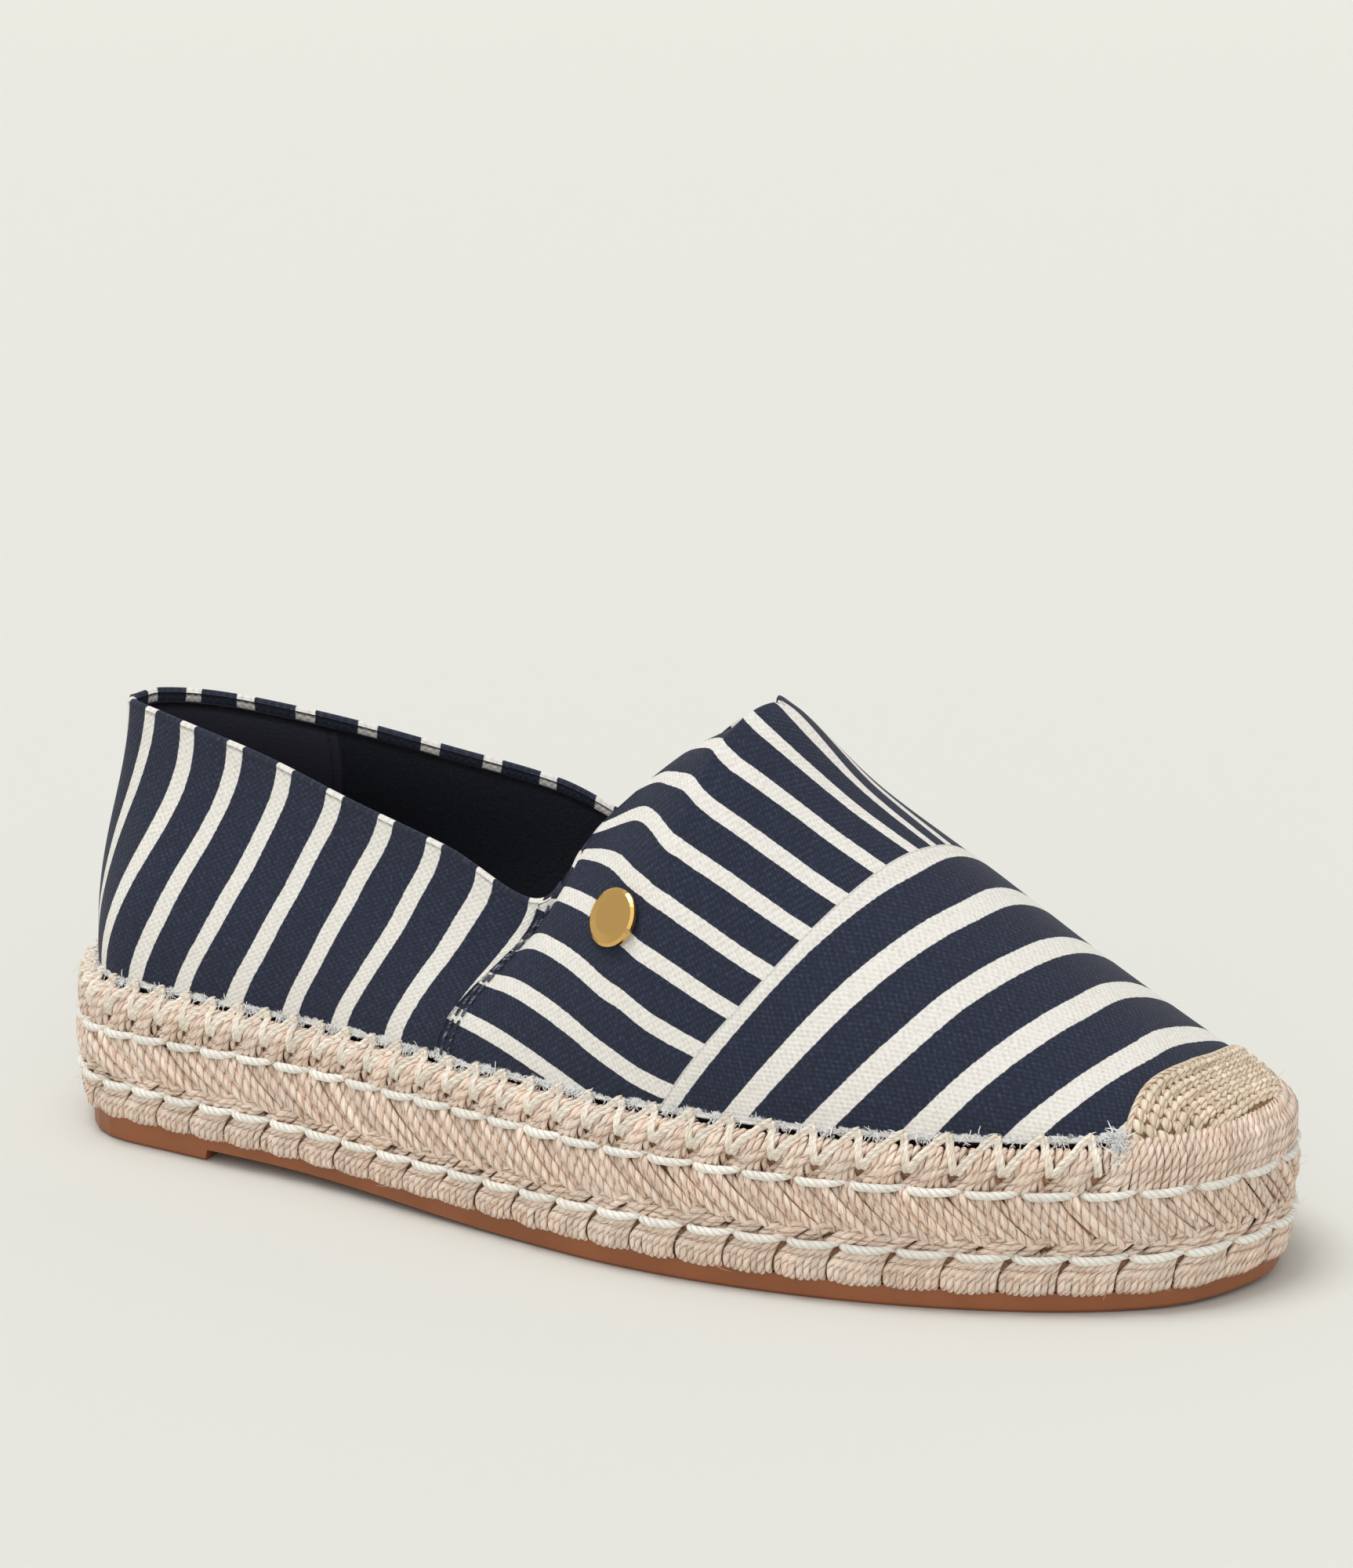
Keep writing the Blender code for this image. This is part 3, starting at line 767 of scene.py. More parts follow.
def sampled(rows, count):
    """Columns of a table drawn as smooth curves with this many points."""
    rows = np.array(rows, float)
    chord = np.linalg.norm(np.diff(rows[:, :2] * (8, 1), axis=0), axis=1) + 0.2
    knots = np.concatenate([[0], np.cumsum(chord)])
    return hermite(np.linspace(0, knots[-1], count), knots, rows)


def tapered(count, radius, start, end):
    """Radius along a strand, thinner at its ends."""
    t = np.linspace(0, 1, count)
    ends = np.minimum(np.clip(t / max(start, 1e-6), 0, 1), np.clip((1 - t) / max(end, 1e-6), 0, 1))
    return radius * (0.35 + 0.65 * np.sqrt(ends))


# Looks of the materials
class Tree:
    """A material's nodes, written as calls."""

    def __init__(self, name):
        self.made = bpy.data.materials.new(name)
        self.made.use_nodes = True
        self.nodes = self.made.node_tree.nodes
        self.links = self.made.node_tree.links
        self.shader = self.nodes["Principled BSDF"]

    def put(self, socket, value):
        if isinstance(value, bpy.types.NodeSocket):
            self.links.new(value, socket)
        elif isinstance(value, (tuple, list)) and len(value) == 3 and len(socket.default_value) == 4:
            socket.default_value = (*value, 1)
        else:
            socket.default_value = value

    def node(self, kind, values=None, **settings):
        made = self.nodes.new(kind)
        for name, value in settings.items():
            setattr(made, name, value)
        for name, value in (values or {}).items():
            self.put(made.inputs[name], value)
        return made

    def math(self, operation, *values):
        return self.node("ShaderNodeMath", dict(enumerate(values)), operation=operation).outputs[0]

    def plus(self, a, b):
        return self.math("ADD", a, b)

    def times(self, a, b):
        return self.math("MULTIPLY", a, b)

    def scaled(self, value, size, start):
        return self.math("MULTIPLY_ADD", value, size, start)

    def rest(self, value):
        """What is left up to 1."""
        return self.math("SUBTRACT", 1.0, value)

    def attribute(self, name):
        return self.node("ShaderNodeAttribute", attribute_name=name).outputs["Fac"]

    def uv(self, name):
        both = self.node("ShaderNodeUVMap", uv_map=name).outputs[0]
        parts = self.node("ShaderNodeSeparateXYZ", {0: both})
        return parts.outputs[0], parts.outputs[1]

    def place(self):
        return self.node("ShaderNodeTexCoord").outputs["Object"]

    def vector(self, x, y, z):
        return self.node("ShaderNodeCombineXYZ", {0: x, 1: y, 2: z}).outputs[0]

    def noise(self, vector, scale, detail=2.0, roughness=0.5):
        values = {"Vector": vector, "Scale": scale, "Detail": detail, "Roughness": roughness}
        return self.node("ShaderNodeTexNoise", values).outputs["Fac"]

    def ramp(self, fac, *stops):
        made = self.node("ShaderNodeValToRGB", {0: fac})
        ramp = made.color_ramp
        while len(ramp.elements) < len(stops):
            ramp.elements.new(0.5)
        for element, (at, colour) in zip(ramp.elements, stops):
            element.position = at
            element.color = (*colour, 1)
        return made.outputs[0]

    def mix(self, fac, a, b, blend="MIX"):
        made = self.nodes.new("ShaderNodeMix")
        made.data_type = "RGBA"
        made.blend_type = blend
        self.put(made.inputs[0], fac)
        self.put(made.inputs[6], a)
        self.put(made.inputs[7], b)
        return made.outputs[2]

    def step(self, value, low, high):
        values = {"Value": value, "From Min": low, "From Max": high}
        return self.node("ShaderNodeMapRange", values, interpolation_type="SMOOTHSTEP").outputs[0]

    def bump(self, height, distance, strength=1.0, under=None):
        values = {"Height": height, "Distance": distance, "Strength": strength}
        made = self.node("ShaderNodeBump", values)
        if under is not None:
            self.put(made.inputs["Normal"], under)
        return made.outputs[0]

    def set(self, **values):
        for name, value in values.items():
            self.put(self.shader.inputs[name.replace("_", " ")], value)
        return self.made


def srgb(red, green, blue):
    """A colour given as it looks on screen, 0 to 255."""
    parts = []
    for value in (red, green, blue):
        share = value / 255
        parts.append(share / 12.92 if share <= 0.04045 else ((share + 0.055) / 1.055) ** 2.4)
    return tuple(parts)


def yarn(name, dark, base, light, plies, lay, ply_depth, fibres, depth, rough):
    """Plied yarn, its fibres drawn along each ply, which winds once in a lay of mm, with painted shade
    mixed toward the dark colour in the creases between plies.
    """
    tree = Tree(name)
    dark, base, light = (srgb(*colour) for colour in (dark, base, light))
    u, v = tree.uv("strand")
    tone = tree.attribute("tone")
    wound = tree.plus(tree.times(u, float(plies)), tree.times(v, plies / lay))
    ply = tree.math("ABSOLUTE", tree.math("SINE", tree.times(wound, math.pi)))
    ply = tree.math("POWER", ply, 0.6)
    twisted = tree.plus(tree.times(u, fibres), tree.times(v, fibres * 0.6 / lay))
    where = tree.vector(twisted, tree.times(v, 0.35), tree.times(tone, 60.0))
    fine = tree.noise(where, 1.0, 3.0, 0.6)
    colour = tree.ramp(fine, (0.28, dark), (0.48, base), (0.70, light))
    shade = tree.scaled(tone, 0.22, 0.89)
    grey = tree.node("ShaderNodeCombineColor", {0: shade, 1: shade, 2: shade}).outputs[0]
    colour = tree.mix(1.0, colour, grey, "MULTIPLY")
    # Painted shade: the creases between the plies are darkened toward the dark colour.
    painted_crease_shade = tree.times(tree.rest(tree.step(ply, 0.15, 0.65)), 0.55)
    colour = tree.mix(painted_crease_shade, colour, dark)
    patch = tree.noise(tree.place(), 60.0, 2.0)
    colour = tree.mix(tree.times(tree.step(patch, 0.35, 0.75), 0.2), colour, light)
    normal = tree.bump(ply, ply_depth, 1.0)
    normal = tree.bump(fine, depth, 1.0, normal)
    return tree.set(Base_Color=colour, Roughness=rough, Normal=normal)


def plain(name, colour, rough):
    """Fine fibres, a little uneven in tone."""
    tree = Tree(name)
    patch = tree.noise(tree.place(), 900.0, 2.0)
    shade = tree.ramp(patch, (0.3, [0.86 * part for part in colour]), (0.6, colour))
    return tree.set(Base_Color=shade, Roughness=rough)


def weave(tree, u, v, pitch):
    """Height of a plain weave at a place given in mm."""
    turn = 2 * math.pi / pitch
    a = tree.math("SINE", tree.times(u, turn))
    b = tree.math("SINE", tree.times(v, turn))
    return tree.scaled(tree.times(a, b), 0.5, 0.5)


def stripe_mask(tree, stripe, wobble, wide):
    """1 on the cream stripes, which lie on the whole numbers of the stripe value."""
    moved = tree.plus(tree.plus(stripe, 0.5), wobble)
    off = tree.math("ABSOLUTE", tree.math("SUBTRACT", tree.math("FRACT", moved), 0.5))
    half = wide / 2
    return tree.rest(tree.step(off, half - 0.008, half + 0.008))


NAVY_DARK = srgb(24, 28, 44)
NAVY = srgb(32, 39, 59)
NAVY_LIGHT = srgb(58, 66, 90)
CREAM_DARK = srgb(216, 211, 202)
CREAM = srgb(238, 235, 228)
FRAY = srgb(238, 238, 236)


def canvas(name, panels):
    """Striped canvas, with one stripe value or two that meet at a seam."""
    tree = Tree(name)
    fuzz = tree.noise(tree.place(), 900.0, 2.0)
    wobble = tree.scaled(fuzz, 0.03, -0.015)
    masks = []
    weaves = []
    for stripe, along, wide in panels:
        value = tree.attribute(stripe)
        masks.append(stripe_mask(tree, value, wobble, wide))
        weaves.append(weave(tree, tree.times(value, STRIPE_PITCH), tree.attribute(along), WEAVE_PITCH))
    cream = masks[0]
    height = weaves[0]
    if len(panels) > 1:
        front = tree.step(tree.attribute("seam"), -0.08, 0.08)
        cream = tree.node("ShaderNodeMix", {0: front, 2: masks[0], 3: masks[1]}).outputs[0]
        height = tree.node("ShaderNodeMix", {0: front, 2: weaves[0], 3: weaves[1]}).outputs[0]
    flecks = tree.noise(tree.place(), 1500.0, 1.0)
    blend = tree.plus(tree.times(height, 0.30), tree.times(flecks, 0.72))
    navy = tree.ramp(blend, (0.30, NAVY_DARK), (0.55, NAVY), (0.86, NAVY_LIGHT))
    pale = tree.ramp(blend, (0.25, CREAM_DARK), (0.60, CREAM), (0.85, srgb(246, 243, 237)))
    colour = tree.mix(cream, navy, pale)
    edge = tree.attribute("edge")
    ragged = tree.noise(tree.place(), 700.0, 3.0, 0.7)
    clumps = tree.noise(tree.place(), 160.0, 2.0)
    reach = tree.scaled(ragged, 2.6, -0.35)
    reach = tree.plus(reach, tree.scaled(clumps, 2.2, -0.75))
    frayed = tree.rest(tree.step(tree.math("SUBTRACT", edge, reach), -0.25, 0.25))
    colour = tree.mix(tree.times(frayed, 0.95), colour, FRAY)
    relief = tree.plus(height, tree.times(flecks, 0.7))
    normal = tree.bump(relief, 0.00009, 1.0)
    if len(panels) > 1:
        seam = tree.attribute("seam")
        far_edge = (seam, 0.9, 2.6)
        near_edge = (seam, -0.1, 0.5)
        fold = tree.math("SUBTRACT", tree.step(*near_edge), tree.times(tree.step(*far_edge), 0.35))
        normal = tree.bump(fold, 0.0007, 1.0, normal)
    return tree.set(Base_Color=colour, Roughness=0.92, Normal=normal, Sheen_Weight=0.04)


def lining():
    """Dark lining, lighter at the heel, with a raised seam where the two meet."""
    tree = Tree("dark_lining")
    grain = tree.noise(tree.place(), 1600.0, 2.0)
    cloud = tree.noise(tree.place(), 60.0, 2.0)
    colour = tree.ramp(grain, (0.3, srgb(14, 16, 24)), (0.75, srgb(32, 36, 50)))
    colour = tree.mix(tree.times(cloud, 0.3), colour, srgb(20, 22, 34))
    heel = tree.math("SUBTRACT", tree.attribute("rib"), HEEL_LINING_RIB)
    colour = tree.mix(tree.rest(tree.step(heel, -0.01, 0.02)), colour, srgb(46, 46, 60))
    ridge = tree.times(tree.step(heel, -0.10, -0.06), tree.rest(tree.step(heel, -0.01, 0.02)))
    normal = tree.bump(ridge, 0.0006, 1.0, tree.bump(grain, 0.0002))
    return tree.set(Base_Color=colour, Roughness=0.95, Normal=normal)


def rubber():
    """Caramel rubber, a little cloudy."""
    tree = Tree("caramel_rubber_look")
    grain = tree.noise(tree.place(), 2500.0, 2.0)
    cloud = tree.noise(tree.place(), 45.0, 3.0)
    colour = tree.ramp(cloud, (0.3, srgb(140, 80, 42)), (0.7, srgb(158, 94, 52)))
    return tree.set(
        Base_Color=colour,
        Roughness=0.42,
        Normal=tree.bump(grain, 0.00006),
        Subsurface_Weight=0.15,
        Subsurface_Scale=0.002,
    )


def gold():
    """Polished pale gold."""
    tree = Tree("gold_look")
    grain = tree.noise(tree.place(), 3000.0, 1.0)
    return tree.set(
        Base_Color=srgb(226, 184, 110),
        Metallic=1.0,
        Roughness=0.2,
        Normal=tree.bump(grain, 0.00001),
    )


YARNS = (
    # name, dark, base and light colour, plies, lay, ply depth, fibres, fibre depth, roughness
    ("jute", (186, 143, 114), (245, 219, 198), (255, 248, 236), 2, 4.6, 0.00040, 15, 0.00022, 0.85),
    # The core look is darker than the jute: painted shade for the gaps between strands.
    ("jute_core", (112, 80, 58), (164, 126, 98), (190, 152, 122), 2, 3.4, 0.00028, 14, 0.00014, 0.85),
    ("white_cord", (214, 208, 192), (243, 240, 230), (250, 248, 242), 3, 4.2, 0.00018, 8, 0.00006, 0.75),
    ("beige_thread", (204, 186, 162), (241, 230, 213), (251, 246, 236), 2, 3.0, 0.00012, 8, 0.00005, 0.6),
    ("crochet", (170, 140, 112), (228, 207, 180), (249, 236, 214), 3, 6.5, 0.00035, 10, 0.00010, 0.5),
    # The crochet core look is darker than the crochet: painted shade under and between the knots.
    ("crochet_core", (88, 64, 40), (128, 98, 66), (160, 128, 92), 2, 1.9, 0.00020, 8, 0.00006, 0.8),
    ("navy_thread", (16, 20, 34), (34, 40, 58), (150, 156, 172), 2, 1.0, 0.00006, 5, 0.00003, 0.7),
)
MADE_YARNS = [yarn(row[0] + "_look", *row[1:]) for row in YARNS]
JUTE, JUTE_CORE_PAINTED_SHADE, WHITE, BEIGE, CROCHET, CROCHET_CORE_PAINTED_SHADE, NAVY_THREAD = MADE_YARNS
FRAY_LOOK = plain("fray_look", srgb(251, 251, 250), 0.9)
HAIR = plain("hair_look", srgb(240, 224, 202), 0.6)
QUARTER_PANELS = (("stripe", "along", QUARTER_CREAM),)
VAMP_PANELS = (("rear", "rear_along", REAR_CREAM), ("front", "front_along", FRONT_CREAM))
QUARTER_CLOTH = canvas("quarter_canvas", QUARTER_PANELS)
VAMP_CLOTH = canvas("vamp_canvas", VAMP_PANELS)
LINING = lining()
RUBBER = rubber()
GOLD = gold()


def core(piece, line, rows):
    """Body under the strands of a course, a closed ring of the same form, coloured dark as painted shade
    where it shows between the strands.
    """
    way = np.arange(CORE_POINTS) / CORE_POINTS * ROUND
    full = np.ones(CORE_POINTS)
    grid = np.array([on_course(way, full * height, full * (out * MM), line) for height, out in rows])
    face = quads(len(rows), CORE_POINTS, closed=True)
    uv = np.stack([face % CORE_POINTS * 0.1, face // CORE_POINTS * 1.0], axis=-1)
    piece.add(grid, (face,), (uv,), 0.5, 1)


def marks(rows, anchor):
    """Ways round of a repeat whose pitch changes along the side, one of them at the anchor."""
    rows = np.array(rows) * MM
    way = np.linspace(0, ROUND, WAY_SAMPLES)
    pitch = hermite(np.minimum(way, ROUND - way), rows[:, 0], rows[:, 1])
    turns = np.concatenate([[0], np.cumsum((1 / pitch[1:] + 1 / pitch[:-1]) / 2 * np.diff(way))])
    count = round(turns[-1])
    turns *= count / turns[-1]
    at = np.interp(anchor * MM, way, turns)
    return np.interp(np.arange(count) + at - np.floor(at), turns, way)


def cells(spots, size):
    """Strands shared out between marks: cell, place across it, its middle and width."""
    width = np.diff(np.append(spots, spots[0] + ROUND))
    number = np.maximum(np.round(width / (size * MM)).astype(int), 2)
    cell = np.repeat(np.arange(len(spots)), number)
    first = np.repeat(np.cumsum(number) - number, number)
    place = (np.arange(len(cell)) - first + 0.5) / number[cell] * 2 - 1
    return cell, place[:, None], (spots + width / 2)[cell][:, None], width[cell][:, None]


def upper_course():
    """Strands of the upper course, pinched at the holes and turned in at its top."""
    piece = Piece("upper_rope_strands")
    body = ((-0.25, -3.2), (-0.05, -1.9), (0.3, -0.9), (0.75, -1.0), (0.95, -1.8), (0.97, -3.4))
    core(piece, UPPER_SEAM, body)
    rings = 14
    table = sampled(UPPER_YARN, rings)
    spots = marks(THREAD_PITCHES, HOLE_PLACE)
    cell, place, middle, width = cells(spots, UPPER_YARN_PITCH)
    count = len(cell)
    start = middle[:, 0] + place[:, 0] * width[:, 0] / 2
    side, at = way_rib(start)
    toe = smooth(*TOE_RIBS, at)[:, None]
    height = np.broadcast_to(table[:, 0], (count, rings))
    pinch = 1 - UPPER_PINCH * np.exp(-(((height - HOLE_HEIGHT) / PINCH_REACH) ** 2)) * (1 - toe)
    lean = (height - 0.45) * UPPER_SLANT - 0.45 * (1 - place) * (1 - smooth(0.0, 0.5, height))
    lean = lean + CHANCE.normal(0, UNEVEN_SLANT[0], (count, 1)) * (height - 0.4)
    way = middle + place * width / 2 * pinch + lean * MM * (1 - 0.6 * toe)
    crest = UPPER_CREST[0] - UPPER_CREST[1] * np.abs(place) ** 2.4
    crest = crest * (1 - 0.7 * smooth(0.6, 1.0, height)) * (1 - toe)
    out = np.broadcast_to(table[:, 1], (count, rings)) + crest * smooth(-0.12, 0.12, height)
    out = (out + CHANCE.normal(0, UNEVEN_OUT[0], (count, 1))) * MM
    points = on_course(way, height, out, UPPER_SEAM)
    outs = np.array(out_of(way))
    steep = np.clip((height - 0.80) / 0.2, 0, 1)[..., None]
    outs = outs * (1 - steep * 0.9) + np.array([0, 0, 1.0]) * steep
    # Round the toe the yarns run up onto the cap's edge
    cap = toe[:, 0] > 0.5
    share = np.clip((np.arange(rings) - 9) / (rings - 10), 0, 1)
    edge = rise_share(side[cap, None], at[cap, None], np.broadcast_to(share * 1.3 * MM, (cap.sum(), rings)))
    face, normal = skin(side[cap, None], at[cap, None], edge)
    over = face + normal * (1.35 * MM - share * 0.85 * MM)[:, None]
    keep = smooth(0.0, 0.3, share)[:, None]
    held = np.minimum(height[cap], 0.88)
    reach = on_course(way[cap], held, np.maximum(out[cap], 0.5 * MM), UPPER_SEAM)
    reach[:, :3] = points[cap][:, :3]
    points[cap] = reach * (1 - keep) + over * keep
    outs[cap] = outs[cap] * (1 - keep) + normal * keep
    thick = CHANCE.uniform(*YARN_RADIUS, count)[:, None] * MM
    strands(piece, points, outs, tapered(rings, 1.0, 0.12, 0.12) * thick, sides=8, squash=0.85)
    return piece.build((JUTE, JUTE_CORE_PAINTED_SHADE), ("upper_rope_course",))


def lower_course():
    """Fans of strands between the rubber and the lower stitches."""
    piece = Piece("lower_rope_strands")
    body = ((0.03, -3.2), (0.03, -1.4), (0.3, -0.7), (0.75, -0.9), (1.0, -1.8), (1.15, -3.2))
    core(piece, RUBBER_TOP, body)
    rings = 12
    table = sampled(LOWER_YARN, rings)
    spots = marks(STITCH_PITCHES, LOWER_STITCH_PLACE)
    cell, place, middle, width = cells(spots, LOWER_YARN_PITCH)
    count = len(cell)
    height = np.broadcast_to(table[:, 0], (count, rings))
    fan = 1.0 - LOWER_FAN * smooth(0.45, 0.85, height)
    slant = LOWER_SLANT[0] + LOWER_SLANT[1] * smooth(0.35, 1.1, height) - 0.3 * place * (1 - height)
    slant = slant + CHANCE.normal(0, UNEVEN_SLANT[1], (count, 1)) * (height - 0.5)
    way = middle + place * width / 2 * fan + slant * MM
    crest = LOWER_CREST[0] - LOWER_CREST[1] * np.abs(place) ** 2.5
    crest = crest * (0.45 + 0.55 * smooth(0.2, 0.9, height))
    drop = 0.06 * (place**2 - 0.4) * (1 - smooth(0.0, 0.4, height))
    uneven = CHANCE.normal(0, UNEVEN_OUT[1], (count, 1))
    out = (np.broadcast_to(table[:, 1], height.shape) + crest + uneven) * MM
    points = on_course(way, height + drop, out, RUBBER_TOP)
    thick = CHANCE.uniform(*YARN_RADIUS, count)[:, None] * MM
    strands(piece, points, out_of(way), tapered(rings, 1.0, 0.1, 0.12) * thick, sides=8, squash=0.85)
    return piece.build((JUTE, JUTE_CORE_PAINTED_SHADE), ("lower_rope_course",))


def braid_course():
    """Braided course: long slanting petals over short yarns that cross them."""
    piece = Piece("braid_strands")
    body = ((-0.12, -3.2), (0.0, -1.8), (0.3, -0.5), (0.7, -0.3), (1.0, -1.7), (1.1, -3.2))
    core(piece, LOWER_SEAM, body)
    spots = marks(PETAL_PITCHES, PETAL_PLACE)
    gap = np.diff(np.append(spots, spots[0] + ROUND))
    for yarns, radius, crest, rows in BRAID_SETS:
        rings = 2 * len(rows) - 1
        table = sampled(rows, rings)
        bundle = np.repeat(np.arange(len(spots)), yarns)
        place = (np.tile(np.arange(yarns) - (yarns - 1) / 2, len(spots)) / ((yarns - 1) / 2))[:, None]
        vary = CHANCE.normal(0, UNEVEN_BRAID[0], (len(spots), 1))[bundle]
        tilt = CHANCE.normal(0, UNEVEN_BRAID[1], (len(spots), 1))[bundle]
        tilt = tilt + CHANCE.normal(0, UNEVEN_BRAID[2], (len(bundle), 1))
        height = np.broadcast_to(table[:, 0], (len(bundle), rings))
        head = 1 - 0.35 * smooth(0.80, 1.02, height) * (crest > 0.9)
        spread = place * head * gap[bundle][:, None] * BRAID_SPREAD * (yarns - 1) / yarns
        way = spots[bundle][:, None] + spread + (vary + table[:, 2] + tilt * (0.9 - height)) * MM
        swell = (BRAID_SWELL[0] - BRAID_SWELL[1] * place**2) * crest * smooth(-0.1, 0.2, height)
        lift = CHANCE.normal(0, 0.18, (len(spots), 1))[bundle] + CHANCE.normal(0, 0.08, (len(bundle), 1))
        out = (table[:, 1] + swell + lift) * MM
        droop = place**2 * 0.03 * smooth(0.7, 1.0, height)
        points = on_course(way, height - droop, out, LOWER_SEAM)
        thick = CHANCE.uniform(0.92, 1.10, len(bundle))[:, None] * radius * MM
        strands(piece, points, out_of(way), tapered(rings, 1.0, 0.1, 0.15) * thick, sides=8, squash=0.95)
    return piece.build((JUTE, JUTE_CORE_PAINTED_SHADE), ("braid_course",))


def running_stitches(name, line, anchor):
    """White cord stitches laid in the groove at a line, each end sinking in."""
    piece = Piece(name)
    rings = 20
    table = sampled(RUNNING_STITCH, rings)
    spots = marks(STITCH_PITCHES, anchor)
    count = len(spots)
    width = np.diff(np.append(spots, spots[0] + ROUND))
    start = spots + CHANCE.normal(0, 0.15 * MM, count)
    way = start[:, None] + table[:, 0] * width[:, None]
    flat, normal = way_point(way)
    high = level(line, flat[..., 0]) + table[:, 2] * MM * CHANCE.uniform(0.6, 1.4, count)[:, None]
    flat = flat + normal * (table[:, 1] * MM)[:, None]
    points = np.concatenate([flat, high[..., None]], axis=-1)
    thick = CHANCE.uniform(0.82, 0.90, count)[:, None] * MM * (1 - 0.30 * smooth(0.5, 1.0, table[:, 0]))
    strands(
        piece, points, out_of(way), tapered(rings, 1.0, 0.06, 0.12) * thick,
        sides=12, squash=0.95, lobes=3, ply=0.05, turn=700,
    )
    return piece.build((WHITE,))


def blanket_thread():
    """Thread that sews the canvas to the rope, up from one hole and down into the next."""
    piece = Piece("blanket_thread")
    rings = 16
    hole = marks(THREAD_PITCHES, HOLE_PLACE)
    width = np.diff(np.append(hole, hole[0] + ROUND))
    for rising in (True, False):
        table = sampled(THREAD_UP if rising else THREAD_DOWN, rings)
        count = len(hole)
        stretch = CHANCE.normal(0, 0.03, count)[:, None]
        way = hole[:, None] + (table[:, 0] + stretch * np.sin(np.pi * table[:, 0])) * width[:, None]
        height = np.broadcast_to(table[:, 1], way.shape)
        out = np.broadcast_to(table[:, 2], way.shape) * MM
        low = on_course(way, np.minimum(height, 1.0), out, UPPER_SEAM)
        rise = np.clip(height - 1.0, 0, None) * THREAD_CLIMB * MM
        side, at = way_rib(way)
        up = rise_share(side, at, rise)
        face, normal = skin(side, at, up)
        lifted = face + normal * (THREAD_LIFT * MM + lap_lift(at)[..., None])
        keep = smooth(0.98, 1.16, height)[..., None]
        points = low * (1 - keep) + lifted * keep
        ends = table[:, 2] < -2.6 if rising else np.zeros(rings, bool)
        points[:, ends] -= normal[:, ends] * (THREAD_DIVE * MM)
        outs = out_of(way) * (1 - keep) + normal * keep
        shown = way_rib(hole + 0.45 * width)[1] < THREAD_ENDS[0]
        for end in (hole, hole + width):
            shown &= way_rib(end)[1] < THREAD_ENDS[1]
        wide = tapered(rings, 1.0, 0.06, 0.06) * THREAD_RADIUS * MM
        across = unit(np.cross(np.gradient(points, axis=1), outs))
        for shift in (-THREAD_APART, THREAD_APART):
            moved = points + across * shift * MM
            strands(piece, moved[shown], outs[shown], wide, sides=7, squash=0.85)
    return piece.build((BEIGE,))


def stripe_value(rows, at, up):
    """Stripe number where every stripe is a row of ways up at ribs 6, 7, 8 and on."""
    rows = np.array(rows, float)
    ribs = np.arange(SEAM_RIB, SEAM_RIB + rows.shape[1] - 1)
    lines = np.array([hermite(at, ribs, row[1:]) for row in rows])
    value = np.zeros(at.shape)
    for k in range(len(rows) - 1):
        share = (lines[k] - up) / (lines[k] - lines[k + 1])
        inside = (share >= 0) & (share < 1)
        value = np.where(inside, rows[k, 0] + share, value)
    below = rows[-1, 0] + (lines[-1] - up) * STRIPES_A_RISE
    return np.where(up <= lines[-1], below, value)


def front_line(row, down):
    """Curve over the ridge from mm along the shoe at ways down, those of the far side below 0."""
    knots = np.concatenate([-np.array(FRONT_DOWN[:0:-1], float), FRONT_DOWN])
    far = row[0] + np.array(FAR_SHIFT[:0:-1])
    return hermite(down, knots, np.concatenate([far, row]))


def front_value(place, down):
    """Stripe number on the front panel, from mm along the shoe and mm down from the ridge."""
    lines = [front_line(row[1:], down) for row in FRONT_STRIPES]
    value = (place - lines[0]) / (lines[1] - lines[0])
    for k in range(len(lines) - 1):
        share = (place - lines[k]) / (lines[k + 1] - lines[k])
        value = np.where(share >= 0, k + share, value)
    return value


def open_share(at):
    """1 on the ribs that end at the collar, 0 on those that end on the ridge."""
    return 1 - smooth(APEX_RIB - 0.35, APEX_RIB, at)


def cloth_layer(piece, at_lines, columns, low_edge, cut, outer, inner, slots, fields, edges):
    """Layer of cloth over both sides, outer and inner being its heights over the
    upper's face, from its low edge to a cut below its rim."""
    rows = len(at_lines)
    at = np.broadcast_to(at_lines[:, None], (rows, columns + 1)).copy()
    share = np.linspace(0, 1, columns + 1) ** 1.1
    open_top = open_share(at_lines)
    for side in (0, 1):
        foot = rise_share(np.full(rows, side), at_lines, np.full(rows, low_edge))[:, None]
        tall = rib_length(side, at_lines)
        head = 1 - (cut / tall * open_top)[:, None]
        up = foot + (head - foot) * share
        points, normals = upper_faces(at, up)
        point = points[side]
        normal = normals[side]
        climb = travelled(point, 1)
        travel = travelled(point)
        down = climb[:, -1:] - climb
        layers = [point + height(at, down)[..., None] * normal for height in (outer, inner)]
        base = level(ROPE_TOP, np.clip(point[..., 0], 0, LENGTH)) + GAP
        layers[1][..., 2] = np.maximum(layers[1][..., 2], np.minimum(base, point[..., 2]))
        values = fields(at, up, climb, travel, point, down * (1 - 2 * side))
        quad = quads(rows, columns + 1)[:, BACKWARDS]
        for k in (0, 1):
            face = quad[:, ::-1] if (k + side) % 2 else quad
            uv = np.stack([travel.reshape(-1)[face] / MM, climb.reshape(-1)[face] / MM], axis=-1)
            piece.add(layers[k], (face,), (uv,), 0.5, slots[k], **values)
        apex = int(np.searchsorted(at_lines, APEX_RIB + 1e-6))
        lines = {
            "foot": ([(i, 0) for i in range(rows)], (0, 1)),
            "rim": ([(i, columns) for i in range(apex)], (0, -1)),
            "start": ([(0, j) for j in range(columns + 1)], (1, 0)),
        }
        for name in edges:
            line, inward = lines[name]
            turned = (name == "foot") ^ (side == 1)
            roll_edge(piece, layers, np.array(line), inward, turned, slots[0], values)


